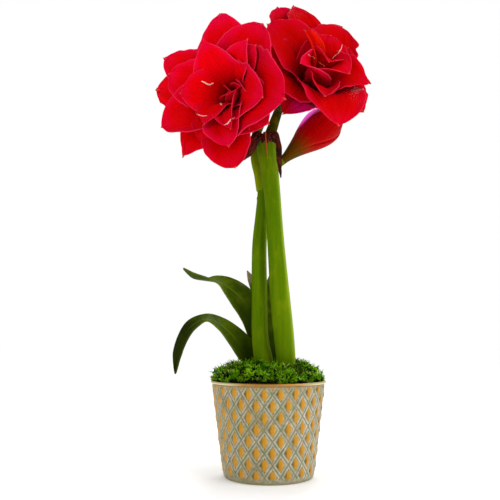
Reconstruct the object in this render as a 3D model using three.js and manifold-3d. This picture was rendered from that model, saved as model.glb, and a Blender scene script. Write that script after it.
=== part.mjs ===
// A double red amaryllis in flower, planted in an embossed metal pot under a mound of moss.
// Two flower stems (scapes) rise from one bulb with four strap leaves behind them. The front
// scape carries one open bloom, the rear one an open bloom and a bud.
// Millimetres, +Z up, origin at the middle of the pot's flat base, front towards -Y.

import * as THREE from "three";
import { mergeVertices } from "three/addons/utils/BufferGeometryUtils.js";
import Module from "manifold-3d";

const wasm = await Module();
wasm.setup();

// Driving dimensions
const POT_HEIGHT = 104;
const POT_BASE_RADIUS = 49;
const POT_RIM_RADIUS = 62.6;
const POT_WALL = 1.4;
const POT_FLOOR = 2;
const POT_FOOT_ROUND = 3;
const POT_SIDES = 28;
const LIP_RADIUS = 1.5;
const LOZENGE_WIDTH = 6.6;
const LOZENGE_HEIGHT = 13.4;
const LOZENGE_RISE = 1.1;
const LOZENGE_PITCH_ACROSS = 16.9;
const LOZENGE_PITCH_DOWN = 12.15;
const LOZENGE_FIRST_COLUMN = -3.9;
const LOZENGE_TOP_ROW = 93.4;
const SOIL_TOP = 92;
const BULB_RADIUS = 42;
const BULB_FOOT = 34;
const BULB_TOP = 112;
const BULB_SIDES = 16;
const ROOTS = 6;
const ROOT_RADIUS = 2;
const ROOT_DEPTH = 10;
const MOSS_EDGE = 106;
const MOSS_CREST = 123;
const TUFTS = 30;
const MOSS_RADIUS = 62;
const FRONT_SCAPE_RADIUS = 9;
const FRONT_SCAPE_SWELL = 2.3;
const REAR_SCAPE_RADIUS = 9;
const REAR_SCAPE_TAPER = 2;
const REAR_SCAPE_FLARE = 2.6;
const SCAPE_SIDES = 14;
const SCAPE_STEPS = 9;
const OVARY_SWELL = 0.35;
const PEDICEL_RADIUS = 4.9;
const BUD_STALK_RADIUS = 4.4;
const LEAF_STEPS = 12;
const LEAF_ROOT_THICKNESS = 2.6;
const LEAF_TIP_THICKNESS = 1.5;
const LEAF_TIP_WIDTH = 0.6;
const PETAL_THICKNESS = 1.3;
const PETAL_STEPS = 4;
const PETAL_POINTS_ACROSS = 4;
const PETAL_FREE_FROM = 0.38;
const BUD_RADIUS = 21.5;
const GAP = 0.35;

// The front scape leans a little left as it rises, the rear one stands behind its left edge
const FRONT_SCAPE = [[20.5, -6, 99], [19.2, -6, 132], [13.6, -7, 192], [9.2, -9, 249], [4.5, -12, 315],
  [0.5, -14, 355], [-0.8, -14, 378]];
const REAR_SCAPE = [[-3, 7, 99], [-3.8, 7, 118], [-7.2, 7, 138], [-9.2, 7.2, 158], [-9.5, 8, 193],
  [-10, 9, 251], [-7.5, 11, 292], [-6, 12, 313], [-6, 12, 327]];

// Each bloom: where its tube starts and which way it faces
const LEFT_BLOOM = { base: [-16.1, 8.1, 416], faces: [-0.5, -0.86, 0.04] };
const RIGHT_BLOOM = { base: [42.9, 17, 427.6], faces: [0.3, -0.88, 0.36] };

// The bud stands out to the right, between its stalk's end and its own tip
const BUD_BASE = [16.8, 10, 355];
const BUD_TIP = [92.5, 33, 427.5];

const point = (p) => new THREE.Vector3(p[0], p[1], p[2]);
const degrees = (a) => (a * Math.PI) / 180;

function material(colour, roughness, metalness) {
  return new THREE.MeshStandardMaterial({ color: colour, roughness, metalness });
}

// A closed body from points and triangles, turned so that its faces look outwards
function body(points, triangles) {
  let volume = 0;
  for (const [a, b, c] of triangles) {
    volume += points[a].dot(points[b].clone().cross(points[c]));
  }
  const index = triangles.flatMap(([a, b, c]) => (volume < 0 ? [a, c, b] : [a, b, c]));
  const geometry = new THREE.BufferGeometry().setFromPoints(points);
  geometry.setIndex(index);
  return geometry;
}

function solid(geometry) {
  const plain = geometry.clone();
  plain.deleteAttribute("normal");
  plain.deleteAttribute("uv");
  const merged = mergeVertices(plain, 1e-4);
  return new wasm.Manifold(new wasm.Mesh({
    numProp: 3,
    vertProperties: new Float32Array(merged.attributes.position.array),
    triVerts: new Uint32Array(merged.index.array),
  }));
}

function shape(manifold) {
  const mesh = manifold.getMesh();
  const geometry = new THREE.BufferGeometry();
  geometry.setAttribute("position", new THREE.BufferAttribute(mesh.vertProperties, 3));
  geometry.setIndex(new THREE.BufferAttribute(mesh.triVerts, 1));
  return geometry;
}

// A round body turned about +Z from a profile of [radius, height] points
function turned(profile, sides) {
  const outline = profile.map(([r, z]) => new THREE.Vector2(r, z));
  return new THREE.LatheGeometry(outline, sides).rotateX(Math.PI / 2);
}

function fuse(solids) {
  return solids.reduce((all, next) => all.add(next));
}

// Of a body that cutting has left in pieces, the largest is kept
function largest(manifold) {
  return manifold.decompose().reduce((best, next) => (next.volume() > best.volume() ? next : best));
}

// Rings of equal count joined into a closed body, with a fan over each end
function loft(rings) {
  const count = rings[0].length;
  const points = rings.flat();
  const triangles = [];
  for (let i = 0; i + 1 < rings.length; i++) {
    for (let j = 0; j < count; j++) {
      const a = i * count + j;
      const b = i * count + ((j + 1) % count);
      triangles.push([a, b, b + count], [a, b + count, a + count]);
    }
  }
  for (const end of [0, rings.length - 1]) {
    const middle = points.length;
    points.push(rings[end].reduce((sum, p) => sum.add(p), new THREE.Vector3()).divideScalar(count));
    for (let j = 0; j < count; j++) {
      const a = end * count + j;
      const b = end * count + ((j + 1) % count);
      triangles.push(end ? [middle, a, b] : [middle, b, a]);
    }
  }
  return body(points, triangles);
}

// A round stem along a path; its radius is a function of the share of its length
function stem(path, radius, steps, sides) {
  const curve = new THREE.CatmullRomCurve3(path.map(point), false, "centripetal");
  const frames = curve.computeFrenetFrames(steps, false);
  const rings = [];
  for (let i = 0; i <= steps; i++) {
    const middle = curve.getPointAt(i / steps);
    const ring = [];
    for (let j = 0; j < sides; j++) {
      const a = (2 * Math.PI * j) / sides;
      ring.push(middle.clone()
        .addScaledVector(frames.normals[i], radius(i / steps) * Math.cos(a))
        .addScaledVector(frames.binormals[i], radius(i / steps) * Math.sin(a)));
    }
    rings.push(ring);
  }
  return loft(rings);
}

// A thin blade: a grid of points given a thickness, split into triangles alike on both faces
function blade(rows, thickness) {
  const across = rows[0].length;
  const last = rows.length - 1;
  const front = [];
  const back = [];
  rows.forEach((row, i) => row.forEach((p, j) => {
    const along = rows[Math.min(i + 1, last)][j].clone().sub(rows[Math.max(i - 1, 0)][j]);
    const aside = row[Math.min(j + 1, across - 1)].clone().sub(row[Math.max(j - 1, 0)]);
    const normal = along.cross(aside).normalize();
    front.push(p.clone().addScaledVector(normal, thickness(i / last) / 2));
    back.push(p.clone().addScaledVector(normal, -thickness(i / last) / 2));
  }));
  const under = front.length;
  const triangles = [];
  const quad = (a, b, c, d) => triangles.push([a, b, c], [a, c, d]);
  for (let i = 0; i < last; i++) {
    for (let j = 0; j + 1 < across; j++) {
      const a = i * across + j;
      const b = a + across;
      triangles.push([a, b, b + 1], [a, b + 1, a + 1]);
      triangles.push([under + a, under + b + 1, under + b], [under + a, under + a + 1, under + b + 1]);
    }
    const left = i * across;
    const right = left + across - 1;
    quad(left, under + left, under + left + across, left + across);
    quad(right, right + across, under + right + across, under + right);
  }
  for (let j = 0; j + 1 < across; j++) {
    const end = last * across + j;
    quad(j, j + 1, under + j + 1, under + j);
    quad(end, under + end, under + end + 1, end + 1);
  }
  return body([...front, ...back], triangles);
}

// Pot: spun sheet metal, a plain cone with a rolled lip and rows of raised lozenges.
// The pattern was pressed into flat sheet, so it is a straight grid on the unrolled cone.
const POT_SLOPE = Math.atan((POT_RIM_RADIUS - POT_BASE_RADIUS) / POT_HEIGHT);
const potRadius = (z) => POT_BASE_RADIUS + z * Math.tan(POT_SLOPE);

function potWall() {
  const profile = [[0, 0], [POT_BASE_RADIUS - POT_FOOT_ROUND, 0]];
  for (const turn of [45, 90]) {
    profile.push([
      POT_BASE_RADIUS - POT_FOOT_ROUND * (1 - Math.sin(degrees(turn))),
      POT_FOOT_ROUND * (1 - Math.cos(degrees(turn))),
    ]);
  }
  const lipMiddle = POT_HEIGHT - LIP_RADIUS;
  const neck = lipMiddle - LIP_RADIUS;
  profile.push([potRadius(neck), neck]);
  for (const turn of [-50, 0, 50, 100, 150]) {
    profile.push([
      potRadius(lipMiddle) + LIP_RADIUS * Math.cos(degrees(turn)),
      lipMiddle + LIP_RADIUS * Math.sin(degrees(turn)),
    ]);
  }
  profile.push([potRadius(neck) - POT_WALL, neck]);
  profile.push([potRadius(POT_FLOOR + 2) - POT_WALL, POT_FLOOR + 2]);
  profile.push([potRadius(POT_FLOOR) - POT_WALL - 2, POT_FLOOR], [0, POT_FLOOR]);
  return turned(profile, POT_SIDES);
}

function lozenge() {
  const w = LOZENGE_WIDTH / 2;
  const h = LOZENGE_HEIGHT / 2;
  const rim = [[w, 0, 0], [0, 0, h], [-w, 0, 0], [0, 0, -h]];
  const points = [...rim, [0, -LOZENGE_RISE, 0], [0, POT_WALL * 0.6, 0]];
  const triangles = [];
  for (let i = 0; i < 4; i++) {
    triangles.push([i, (i + 1) % 4, 5], [(i + 1) % 4, i, 4]);
  }
  return body(points.map(point), triangles);
}

function pot() {
  const lean = Math.sin(POT_SLOPE);
  const reach = potRadius(LOZENGE_TOP_ROW) / lean;
  const stamp = lozenge();
  const rows = Math.ceil(POT_HEIGHT / LOZENGE_PITCH_DOWN);
  const columns = Math.ceil((Math.PI * POT_RIM_RADIUS) / LOZENGE_PITCH_ACROSS);
  const raised = [];
  for (let row = -Math.floor(rows / 2); row < rows; row++) {
    for (let column = -columns; column <= columns; column++) {
      const across = LOZENGE_FIRST_COLUMN + (column + (row % 2 ? 0.5 : 0)) * LOZENGE_PITCH_ACROSS;
      const down = reach - row * LOZENGE_PITCH_DOWN;
      const distance = Math.hypot(across, down);
      const unrolled = Math.atan2(across, down);
      const turn = unrolled / lean;
      const z = (distance * lean - POT_BASE_RADIUS) / Math.tan(POT_SLOPE) * Math.cos(POT_SLOPE);
      const inside = z > LOZENGE_HEIGHT * 0.6 && z < POT_HEIGHT - LOZENGE_HEIGHT * 0.7;
      if (inside && Math.abs(turn) < Math.PI - 0.06) {
        const spot = new THREE.Matrix4().makeRotationZ(turn)
          .multiply(new THREE.Matrix4().makeTranslation(0, -potRadius(z), z))
          .multiply(new THREE.Matrix4().makeRotationX(POT_SLOPE))
          .multiply(new THREE.Matrix4().makeRotationY(unrolled));
        raised.push(solid(stamp.clone().applyMatrix4(spot)));
      }
    }
  }
  return shape(fuse([solid(potWall()), ...raised]));
}

// Bulb: an onion of fleshy scales with a flat root plate and thick white roots
function bulbSolid(extra) {
  const middle = (BULB_FOOT + BULB_TOP) / 2 + 2;
  const profile = [[0, BULB_FOOT], [0.36, BULB_FOOT], [0.72, BULB_FOOT + 7], [0.93, middle - 18],
    [1, middle], [0.95, middle + 14], [0.85, middle + 25], [0.72, BULB_TOP - 6], [0.55, BULB_TOP - 1.5],
    [0, BULB_TOP]];
  const outline = profile.map(([share, z], i) => [
    share ? share * BULB_RADIUS + extra : 0,
    z + (i < 2 ? -extra : 0) + (i > 7 ? extra : 0),
  ]);
  const scales = solid(turned(outline, BULB_SIDES));
  const roots = [];
  for (let i = 0; i < ROOTS; i++) {
    const turn = i * 2.4;
    const spread = 10 + (i % 3) * 9;
    const ray = (r, z) => [r * Math.cos(turn + z * 0.012), r * Math.sin(turn + z * 0.012), z];
    const path = [
      ray(7, BULB_FOOT + 5),
      ray(spread * 0.7 + 3, BULB_FOOT - 5),
      ray(spread + 6, (BULB_FOOT + ROOT_DEPTH) / 2),
      ray(spread + 4, ROOT_DEPTH - 2 * extra),
    ];
    roots.push(solid(stem(path, (s) => ROOT_RADIUS * (1 - s / 2) + 2.5 * extra, 4, 5)));
  }
  return fuse([scales, ...roots]);
}

// Scapes: round, hollow-looking fleshy stalks, slightly tapered, with a pedicel to each flower
const bell = (x, middle, spread) => Math.exp(-(((x - middle) / spread) ** 2));
const frontScapeRadius = (s) => FRONT_SCAPE_RADIUS + FRONT_SCAPE_SWELL * bell(s, 0.25, 0.25);
const rearScapeRadius = (s) => (
  REAR_SCAPE_RADIUS - REAR_SCAPE_TAPER * s ** 2.5 + REAR_SCAPE_FLARE * bell(s, 0, 0.17)
);
const longer = (path, extra) => path.map(([x, y, z], i) => {
  const end = (i === path.length - 1 ? extra : 0) - (i ? 0 : extra);
  return [x, y, z + end];
});
const frontScapeStalk = (extra) => solid(
  stem(longer(FRONT_SCAPE, extra), (s) => frontScapeRadius(s) + extra, SCAPE_STEPS, SCAPE_SIDES),
);
const rearScapeStalk = (extra) => solid(
  stem(longer(REAR_SCAPE, extra), (s) => rearScapeRadius(s) + extra, SCAPE_STEPS, SCAPE_SIDES),
);

// A pedicel ends in the ovary, whose flat end faces the bloom
function pedicel(start, middle, bloom, girth) {
  const faces = point(bloom.faces).normalize();
  const end = point(bloom.base).addScaledVector(faces, -GAP);
  const before = end.clone().addScaledVector(faces, -9);
  const path = [start, ...middle, before.toArray(), end.toArray()];
  return solid(stem(path, (s) => girth * (1 + OVARY_SWELL * bell(s, 0.82, 0.12)), 11, 8));
}

function frontScape(extra) {
  const bends = [[5.4, -12, 387.6], [10.8, -6, 402.1], [16.5, 6, 416], [25.5, 22, 426.1],
    [36.5, 31.5, 424.5]];
  const flower = pedicel([-0.8, -14, 372], bends, RIGHT_BLOOM, PEDICEL_RADIUS + extra);
  return fuse([frontScapeStalk(extra), flower]);
}

function scapeRear() {
  const bends = [[-13, 11, 339], [-16.5, 13, 360], [-13, 20, 388], [-8.5, 21.5, 407]];
  const flower = pedicel([-7, 12, 321], bends, LEFT_BLOOM, PEDICEL_RADIUS);
  const budStart = point(BUD_BASE);
  const beforeBud = budStart.clone().addScaledVector(point(BUD_TIP).sub(budStart).normalize(), -6);
  const budPath = [[-6, 12, 321], [0, 12.5, 334], beforeBud.toArray(), BUD_BASE];
  const budStalk = solid(stem(budPath, () => BUD_STALK_RADIUS, 6, 9));
  return shape(fuse([rearScapeStalk(0), flower, budStalk]));
}

// Leaves: strap blades, channelled along the middle. Each has a path, the direction of its
// width along that path, its half-width at the middle and at the root, and where it starts to taper.
const LEAVES = {
  leaf_upper: {
    path: [[-4, 27, 100], [-6, 28, 124], [-11, 29, 150], [-18, 29, 178], [-30, 27, 196], [-45, 23, 209],
      [-58, 20, 216], [-71, 17, 217.5], [-85, 15, 221], [-97, 13, 230]],
    width: [[1, 0, 0], [1, 0, 0.1], [0.95, 0, 0.3], [0.8, 0.1, 0.6], [0.6, 0.4, 0.7], [0.35, 0.75, 0.55],
      [0.1, 0.95, 0.3], [0, 1, 0.02], [-0.1, 0.95, -0.3], [-0.2, 0.9, -0.45]],
    half: 16,
    root: 9,
    tapersFrom: 0.45,
  },
  leaf_lower: {
    path: [[-6, 21, 100], [-9, 20, 114], [-15, 19, 124], [-24, 17, 138], [-36, 13, 154], [-52, 9, 167],
      [-69, 6, 172], [-85, 2, 164.5], [-95, -1, 150], [-101, -4, 132], [-102.5, -6, 112]],
    width: [[1, 0, 0], [1, 0.1, 0.2], [0.9, 0.2, 0.4], [0.7, 0.45, 0.55], [0.5, 0.65, 0.55],
      [0.25, 0.85, 0.4], [0, 0.95, 0.28], [-0.45, 0.8, 0.4], [-0.7, 0.7, 0.25], [-0.8, 0.6, 0.1],
      [-0.85, 0.55, 0]],
    half: 14.5,
    root: 9,
    tapersFrom: 0.4,
  },
  leaf_short: {
    path: [[-3, 33, 100], [-5, 35, 130], [-9, 37, 165], [-13, 37, 200], [-22.5, 36, 229]],
    width: [[1, 0, 0], [1, 0, 0], [0.95, 0, 0.2], [0.95, 0, 0.2], [0.9, 0, 0.3]],
    half: 8,
    root: 7,
    tapersFrom: 0.6,
  },
  leaf_middle: {
    path: [[12, 20, 100], [10, 20, 130], [7, 20, 165], [4, 20, 200], [2, 19, 221]],
    width: [[1, 0, 0], [1, 0, 0], [1, 0, 0], [1, 0, 0], [1, 0, 0]],
    half: 7.2,
    root: 7,
    tapersFrom: 0.6,
  },
};

function leafBlade(leaf, extra) {
  const path = new THREE.CatmullRomCurve3(longer(leaf.path, extra).map(point), false, "centripetal");
  const aside = new THREE.CatmullRomCurve3(leaf.width.map(point), false, "centripetal");
  const across = [-1, -0.4, 0.4, 1];
  const rows = [];
  for (let i = 0; i <= LEAF_STEPS; i++) {
    const s = i / LEAF_STEPS;
    const middle = path.getPoint(s);
    const along = path.getTangent(s);
    const side = aside.getPoint(s).addScaledVector(along, -aside.getPoint(s).dot(along)).normalize();
    const normal = along.clone().cross(side);
    const swell = Math.min(1, s / 0.35);
    const late = Math.max(0, (s - leaf.tapersFrom) / (1 - leaf.tapersFrom));
    const taper = (1 - 0.75 * late ** 1.6) * Math.min(1, (1 - s) / 0.1) ** 0.6;
    const width = (leaf.root + (leaf.half - leaf.root) * swell) * taper;
    const half = Math.max(LEAF_TIP_WIDTH, width) + extra;
    rows.push(across.map((t) => middle.clone()
      .addScaledVector(side, half * t)
      .addScaledVector(normal, 0.22 * half * (0.5 - t * t))));
  }
  const thin = LEAF_TIP_THICKNESS - LEAF_ROOT_THICKNESS;
  return solid(blade(rows, (s) => LEAF_ROOT_THICKNESS + thin * s + 2 * extra));
}

// Soil: fills the pot round the bulb, up to the bulb's shoulder
function soil() {
  const profile = [[0, POT_FLOOR + GAP], [potRadius(POT_FLOOR) - POT_WALL - 2 - GAP, POT_FLOOR + GAP],
    [potRadius(POT_FLOOR + 2) - POT_WALL - GAP, POT_FLOOR + 2 + GAP],
    [potRadius(SOIL_TOP) - POT_WALL - GAP, SOIL_TOP], [0, SOIL_TOP]];
  return solid(turned(profile, POT_SIDES));
}

// Moss: a loose cushion over the soil, higher on the right, with small tufts standing out of it
const mossHeight = (x, y) => {
  const r = Math.hypot(x, y) / MOSS_RADIUS;
  const dome = MOSS_EDGE + (MOSS_CREST - MOSS_EDGE) * Math.max(0, 1 - r ** 3.2) ** 0.7;
  const lumps = 1.8 * Math.sin(x * 0.23 + 1) * Math.cos(y * 0.21) + 1.3 * Math.sin(x * 0.51 + y * 0.37);
  const rise = 3.5 * Math.exp(-(((x - 36) / 13) ** 2) - ((y / 26) ** 2));
  const hollow = -3 * Math.exp(-(((x - 4) / 16) ** 2) - (((y + 22) / 14) ** 2));
  return dome + (lumps + rise + hollow) * Math.max(0, 1 - r ** 6);
};

function mossCushion() {
  const sides = POT_SIDES;
  const rings = [];
  const ring = (radius, height) => {
    const points = [];
    for (let j = 0; j < sides; j++) {
      const a = (2 * Math.PI * j) / sides;
      const x = radius * Math.cos(a);
      const y = radius * Math.sin(a);
      points.push(new THREE.Vector3(x, y, height ?? mossHeight(x, y)));
    }
    rings.push(points);
  };
  const inner = (z) => potRadius(z) - POT_WALL - LIP_RADIUS - GAP;
  ring(inner(SOIL_TOP), SOIL_TOP + GAP);
  ring(inner(POT_HEIGHT), POT_HEIGHT);
  ring(MOSS_RADIUS - 0.5, POT_HEIGHT + 1);
  ring(MOSS_RADIUS + 0.5, MOSS_EDGE);
  for (const share of [0.97, 0.87, 0.74, 0.6, 0.44, 0.22]) {
    ring(share * MOSS_RADIUS);
  }
  return solid(loft(rings));
}

function mossTufts() {
  const tufts = [];
  for (let i = 0; i < TUFTS; i++) {
    const radius = (MOSS_RADIUS - 3) * Math.sqrt((i + 4) / (TUFTS + 4));
    const turn = i * 2.39996;
    const x = radius * Math.cos(turn);
    const y = radius * Math.sin(turn);
    const height = 3.6 + 1.6 * Math.sin(i * 1.7);
    const out = radius / MOSS_RADIUS;
    const tip = [x * (1 + 0.05 * out), y * (1 + 0.05 * out), mossHeight(x, y) + height];
    tufts.push(solid(stem([[x, y, mossHeight(x, y) - 2.5], tip], (s) => 5 * (1 - s) + 0.6, 1, 4)));
  }
  return tufts;
}

// Spathe: the two withered bracts that held the buds, on a papery ring round the front scape's top
function spathe() {
  const scape = new THREE.CatmullRomCurve3(FRONT_SCAPE.map(point), false, "centripetal");
  const ringMiddle = scape.getPointAt(0.985);
  const inner = frontScapeRadius(0.95) + GAP;
  const section = [[0, -4], [1.4, -3], [1.2, 4], [0, 4], [0, -4]];
  const ring = turned(section.map(([r, z]) => [inner + r, z]), 16)
    .rotateX(degrees(3))
    .translate(ringMiddle.x, ringMiddle.y, ringMiddle.z);
  const bract = (path, side, half, thickness) => {
    const curve = new THREE.CatmullRomCurve3(path.map(point), false, "centripetal");
    const rows = [];
    for (let i = 0; i <= 5; i++) {
      const s = i / 5;
      const across = half * (0.35 + Math.sin(Math.PI * Math.min(s * 0.9 + 0.12, 0.97)) ** 0.8);
      rows.push([-1, 0, 1].map((t) => curve.getPointAt(s)
        .addScaledVector(point(side), across * t)
        .addScaledVector(new THREE.Vector3(0, 1, 0), across * 0.5 * Math.abs(t))));
    }
    return solid(blade(rows, () => thickness));
  };
  const rightPath = [[6.5, -21.5, 379.5], [12, -22, 375.5], [14.9, -20, 363.1], [14.2, -18.5, 346.2],
    [14.6, -18, 329.6]];
  const leftPath = [[-6.8, -22, 379.5], [-13.6, -25, 373], [-20.9, -24.5, 360.6], [-28.2, -22, 348.7]];
  const threadPath = [[-2.5, -24.2, 377], [-2, -26, 367.2], [-1.2, -25.5, 352.6]];
  const right = bract(rightPath, [0.9, 0.2, 0.2], 2.4, 1);
  const left = bract(leftPath, [0.8, -0.3, 0.5], 5.6, 1);
  const thread = solid(stem(threadPath, (s) => 0.9 - 0.4 * s, 3, 4));
  return shape(fuse([solid(ring), right, left, thread]).subtract(frontScape(GAP)));
}

// Petals. In the bloom's own frame a petal leaves the tube at the angle `turn` round the axis
// (0 is right, 90 is up) and its middle line runs to `reach` from the axis and `rise` along it.
// `lean` is the slope of its tip, `cup` how far its edges curl, `peak` where it is widest.
const PETAL = { lean: 0, width: 44, cup: 25, root: 75, wave: 0.08, peak: 0.6, blunt: 0.75, tube: 14 };

function bloomFrame(bloom) {
  const axis = point(bloom.faces).normalize();
  const right = axis.clone().cross(new THREE.Vector3(0, 0, 1)).negate().normalize();
  if (right.x < 0) {
    right.negate();
  }
  const up = axis.clone().cross(right);
  if (up.z < 0) {
    up.negate();
  }
  return { base: point(bloom.base), axis, right, up };
}

function petalRows(frame, given, from, steps, across) {
  const petal = { ...PETAL, ...given };
  const outward = frame.right.clone().multiplyScalar(Math.cos(degrees(petal.turn)))
    .addScaledVector(frame.up, Math.sin(degrees(petal.turn)));
  const side = frame.axis.clone().cross(outward).normalize();
  const start = new THREE.Vector2(2.5, 0);
  const tip = new THREE.Vector2(petal.reach, petal.rise);
  const leg = 0.42 * start.distanceTo(tip);
  const tube = degrees(petal.tube);
  const lean = degrees(petal.lean);
  const line = new THREE.CubicBezierCurve(
    start,
    new THREE.Vector2(start.x + leg * Math.sin(tube), start.y + leg * Math.cos(tube)),
    new THREE.Vector2(tip.x - leg * Math.cos(lean), tip.y - leg * Math.sin(lean)),
    tip,
  );
  const power = Math.log(0.5) / Math.log(petal.peak);
  const rows = [];
  for (let i = 0; i <= steps; i++) {
    const s = from + ((1 - from) * i) / steps;
    const place = line.getPoint(s);
    const slope = line.getTangent(s);
    const middle = frame.base.clone()
      .addScaledVector(outward, place.x)
      .addScaledVector(frame.axis, place.y);
    const normal = frame.axis.clone().multiplyScalar(slope.x).addScaledVector(outward, -slope.y);
    const swell = Math.sin(Math.PI * Math.min(s, 0.995) ** power) ** petal.blunt;
    const half = 0.5 * petal.width * (0.22 * (1 - s) + 0.02 + swell);
    const curl = degrees(petal.root * (1 - s) ** 2 + petal.cup * (1 - (1 - s) ** 2));
    const row = [];
    for (let j = 0; j < across; j++) {
      const t = -1 + (2 * j) / (across - 1);
      const ripple = petal.wave * half * t * t * Math.sin(4 * Math.PI * s + (t > 0 ? 2.1 : 0));
      const calm = Math.sqrt(Math.max(0, Math.sin(Math.PI * s)));
      row.push(middle.clone()
        .addScaledVector(side, (half / curl) * Math.sin(curl * t))
        .addScaledVector(normal, (half / curl) * (1 - Math.cos(curl * t)) + ripple * calm));
    }
    rows.push(row);
  }
  return rows;
}

// The left bloom's petals, from the broad outer ones to the small rolled ones in its throat
const LEFT_PETALS = [
  { turn: 96, reach: 93, rise: 64, width: 70, lean: -4, cup: 10, blunt: 0.5, peak: 0.55 },
  { turn: 57, reach: 82, rise: 66, width: 70, lean: -4, cup: 10, blunt: 0.5, peak: 0.6 },
  { turn: 342, reach: 88, rise: 82, width: 76, lean: -5, cup: 12, blunt: 0.85, peak: 0.52 },
  { turn: 288, reach: 94, rise: 66, width: 74, lean: -20, cup: 12, blunt: 0.4 },
  { turn: 230, reach: 83, rise: 62, width: 56, lean: -12, cup: 14, blunt: 0.8, peak: 0.5 },
  { turn: 166, reach: 106, rise: 52, width: 56, lean: -20, cup: 12, blunt: 0.6 },
  { turn: 147, reach: 105, rise: 60, width: 64, lean: -5, cup: 12, blunt: 0.6 },
  { turn: 156, reach: 80, rise: 70, width: 54, lean: -5, cup: 14, blunt: 0.6 },
  { turn: 201, reach: 84, rise: 72, width: 60, lean: -10, cup: 14, blunt: 0.7 },
  { turn: 284, reach: 69, rise: 78, width: 52, lean: -16, cup: 16, blunt: 0.55 },
  { turn: 307, reach: 83, rise: 74, width: 64, lean: -16, cup: 12, blunt: 0.5 },
  { turn: 105, reach: 57, rise: 86, width: 60, lean: 4, cup: 16, blunt: 0.85, peak: 0.5 },
  { turn: 180, reach: 46, rise: 82, width: 54, cup: 16, blunt: 0.65 },
  { turn: 42, reach: 60, rise: 74, width: 46, lean: 6, cup: 18, blunt: 0.6 },
  { turn: 52, reach: 58, rise: 80, width: 42, lean: 8, cup: 20, blunt: 0.75 },
];

const RIGHT_PETALS = [
  { turn: 109, reach: 105, rise: 48, width: 60, lean: -5, cup: 12, blunt: 0.45 },
  { turn: 92, reach: 102, rise: 52, width: 62, lean: -20, cup: 10, blunt: 0.5 },
  { turn: 60, reach: 82, rise: 60, width: 66, lean: -10, cup: 12, blunt: 0.5 },
  { turn: 37, reach: 59, rise: 64, width: 62, lean: -15, cup: 12 },
  { turn: 226, reach: 71, rise: 42, width: 44, lean: -30, cup: 12 },
  { turn: 195, reach: 74, rise: 58, width: 80, lean: -10, cup: 10, blunt: 0.5 },
  { turn: 134, reach: 78, rise: 62, width: 74, cup: 16, blunt: 0.5 },
  { turn: 304, reach: 69, rise: 66, width: 60, lean: -16, cup: 12, blunt: 0.55 },
  { turn: 270, reach: 83, rise: 68, width: 72, lean: -24, cup: 12, blunt: 0.6 },
  { turn: 72, reach: 41, rise: 74, width: 58, lean: 5, cup: 15, blunt: 0.6 },
  { turn: 336, reach: 54, rise: 72, width: 60, lean: -5, cup: 14 },
  { turn: 314, reach: 28, rise: 82, width: 48, lean: 5, cup: 24, blunt: 0.6 },
  { turn: 249, reach: 13, rise: 84, width: 42, lean: 10, cup: 26 },
];

// The tube at the bottom of a bloom, where the petals are grown together
function bloomTube(frame) {
  const profile = [[0, 0], [4.6, 0], [7.5, 12], [13, 31], [19, 47], [0, 37]];
  const tube = turned(profile, 12);
  const back = frame.axis.clone().cross(frame.right);
  const place = new THREE.Matrix4().makeBasis(frame.right, back, frame.axis).setPosition(frame.base);
  return solid(tube.applyMatrix4(place));
}

function bloom(which, petals) {
  const frame = bloomFrame(which);
  const blades = petals.map((petal) => {
    const rows = petalRows(frame, petal, PETAL_FREE_FROM, PETAL_STEPS, PETAL_POINTS_ACROSS);
    return solid(blade(rows, () => PETAL_THICKNESS));
  });
  return shape(largest(fuse([bloomTube(frame), ...blades])));
}

// Bud: six petals still wrapped round each other, each outer edge a low step
function bud() {
  const axis = point(BUD_TIP).sub(point(BUD_BASE));
  const length = axis.length();
  axis.normalize();
  const right = axis.clone().cross(new THREE.Vector3(0, 0, 1)).normalize();
  const up = right.clone().cross(axis);
  const rings = [];
  const sides = 18;
  const steps = 11;
  for (let i = 0; i <= steps; i++) {
    const s = i / steps;
    const girth = BUD_RADIUS * (0.2 * (1 - s) + Math.sin(Math.PI * s ** 1.75) ** 0.85 * 0.98 + 0.03);
    const ring = [];
    for (let j = 0; j < sides; j++) {
      const a = (2 * Math.PI * j) / sides;
      const wrap = (((a / (2 * Math.PI)) * 3 + s * 0.9 + 10) % 1);
      const radius = girth * (0.94 + 0.1 * wrap);
      ring.push(point(BUD_BASE).addScaledVector(axis, s * length + GAP)
        .addScaledVector(right, radius * Math.cos(a))
        .addScaledVector(up, radius * Math.sin(a)));
    }
    rings.push(ring);
  }
  return loft(rings);
}

const plant = new THREE.Group();

function add(name, geometry, look) {
  const mesh = new THREE.Mesh(geometry, look);
  mesh.name = name;
  plant.add(mesh);
}

const petalLook = material(0xc8050f, 0.45, 0);
const leafLook = material(0x3f5a14, 0.5, 0);
const scapeLook = material(0x6f9412, 0.45, 0);

// What stands in the bulb and the moss, each a little larger than itself, to cut its hole
const leafHoles = Object.values(LEAVES).map((leaf) => leafBlade(leaf, GAP));
const standing = fuse([frontScapeStalk(GAP), rearScapeStalk(GAP), ...leafHoles]);

add("pot", pot(), material(0xa49a78, 0.4, 0.6));
add("soil", shape(largest(soil().subtract(bulbSolid(GAP)))), material(0x2c1d12, 0.95, 0));
add("bulb", shape(largest(bulbSolid(0).subtract(standing))), material(0x8a5a32, 0.7, 0));
add("moss", shape(largest(fuse([mossCushion(), ...mossTufts()])
  .subtract(bulbSolid(GAP)).subtract(standing))), material(0x35601a, 0.95, 0));
add("scape_front", shape(frontScape(0)), scapeLook);
add("scape_rear", scapeRear(), scapeLook);
for (const [name, leaf] of Object.entries(LEAVES)) {
  add(name, shape(leafBlade(leaf, 0)), leafLook);
}
add("spathe", spathe(), material(0x4a1a14, 0.7, 0));
add("bloom_left", bloom(LEFT_BLOOM, LEFT_PETALS), petalLook);
add("bloom_right", bloom(RIGHT_BLOOM, RIGHT_PETALS), petalLook);
add("bud", bud(), material(0xa80c16, 0.45, 0));

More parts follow.
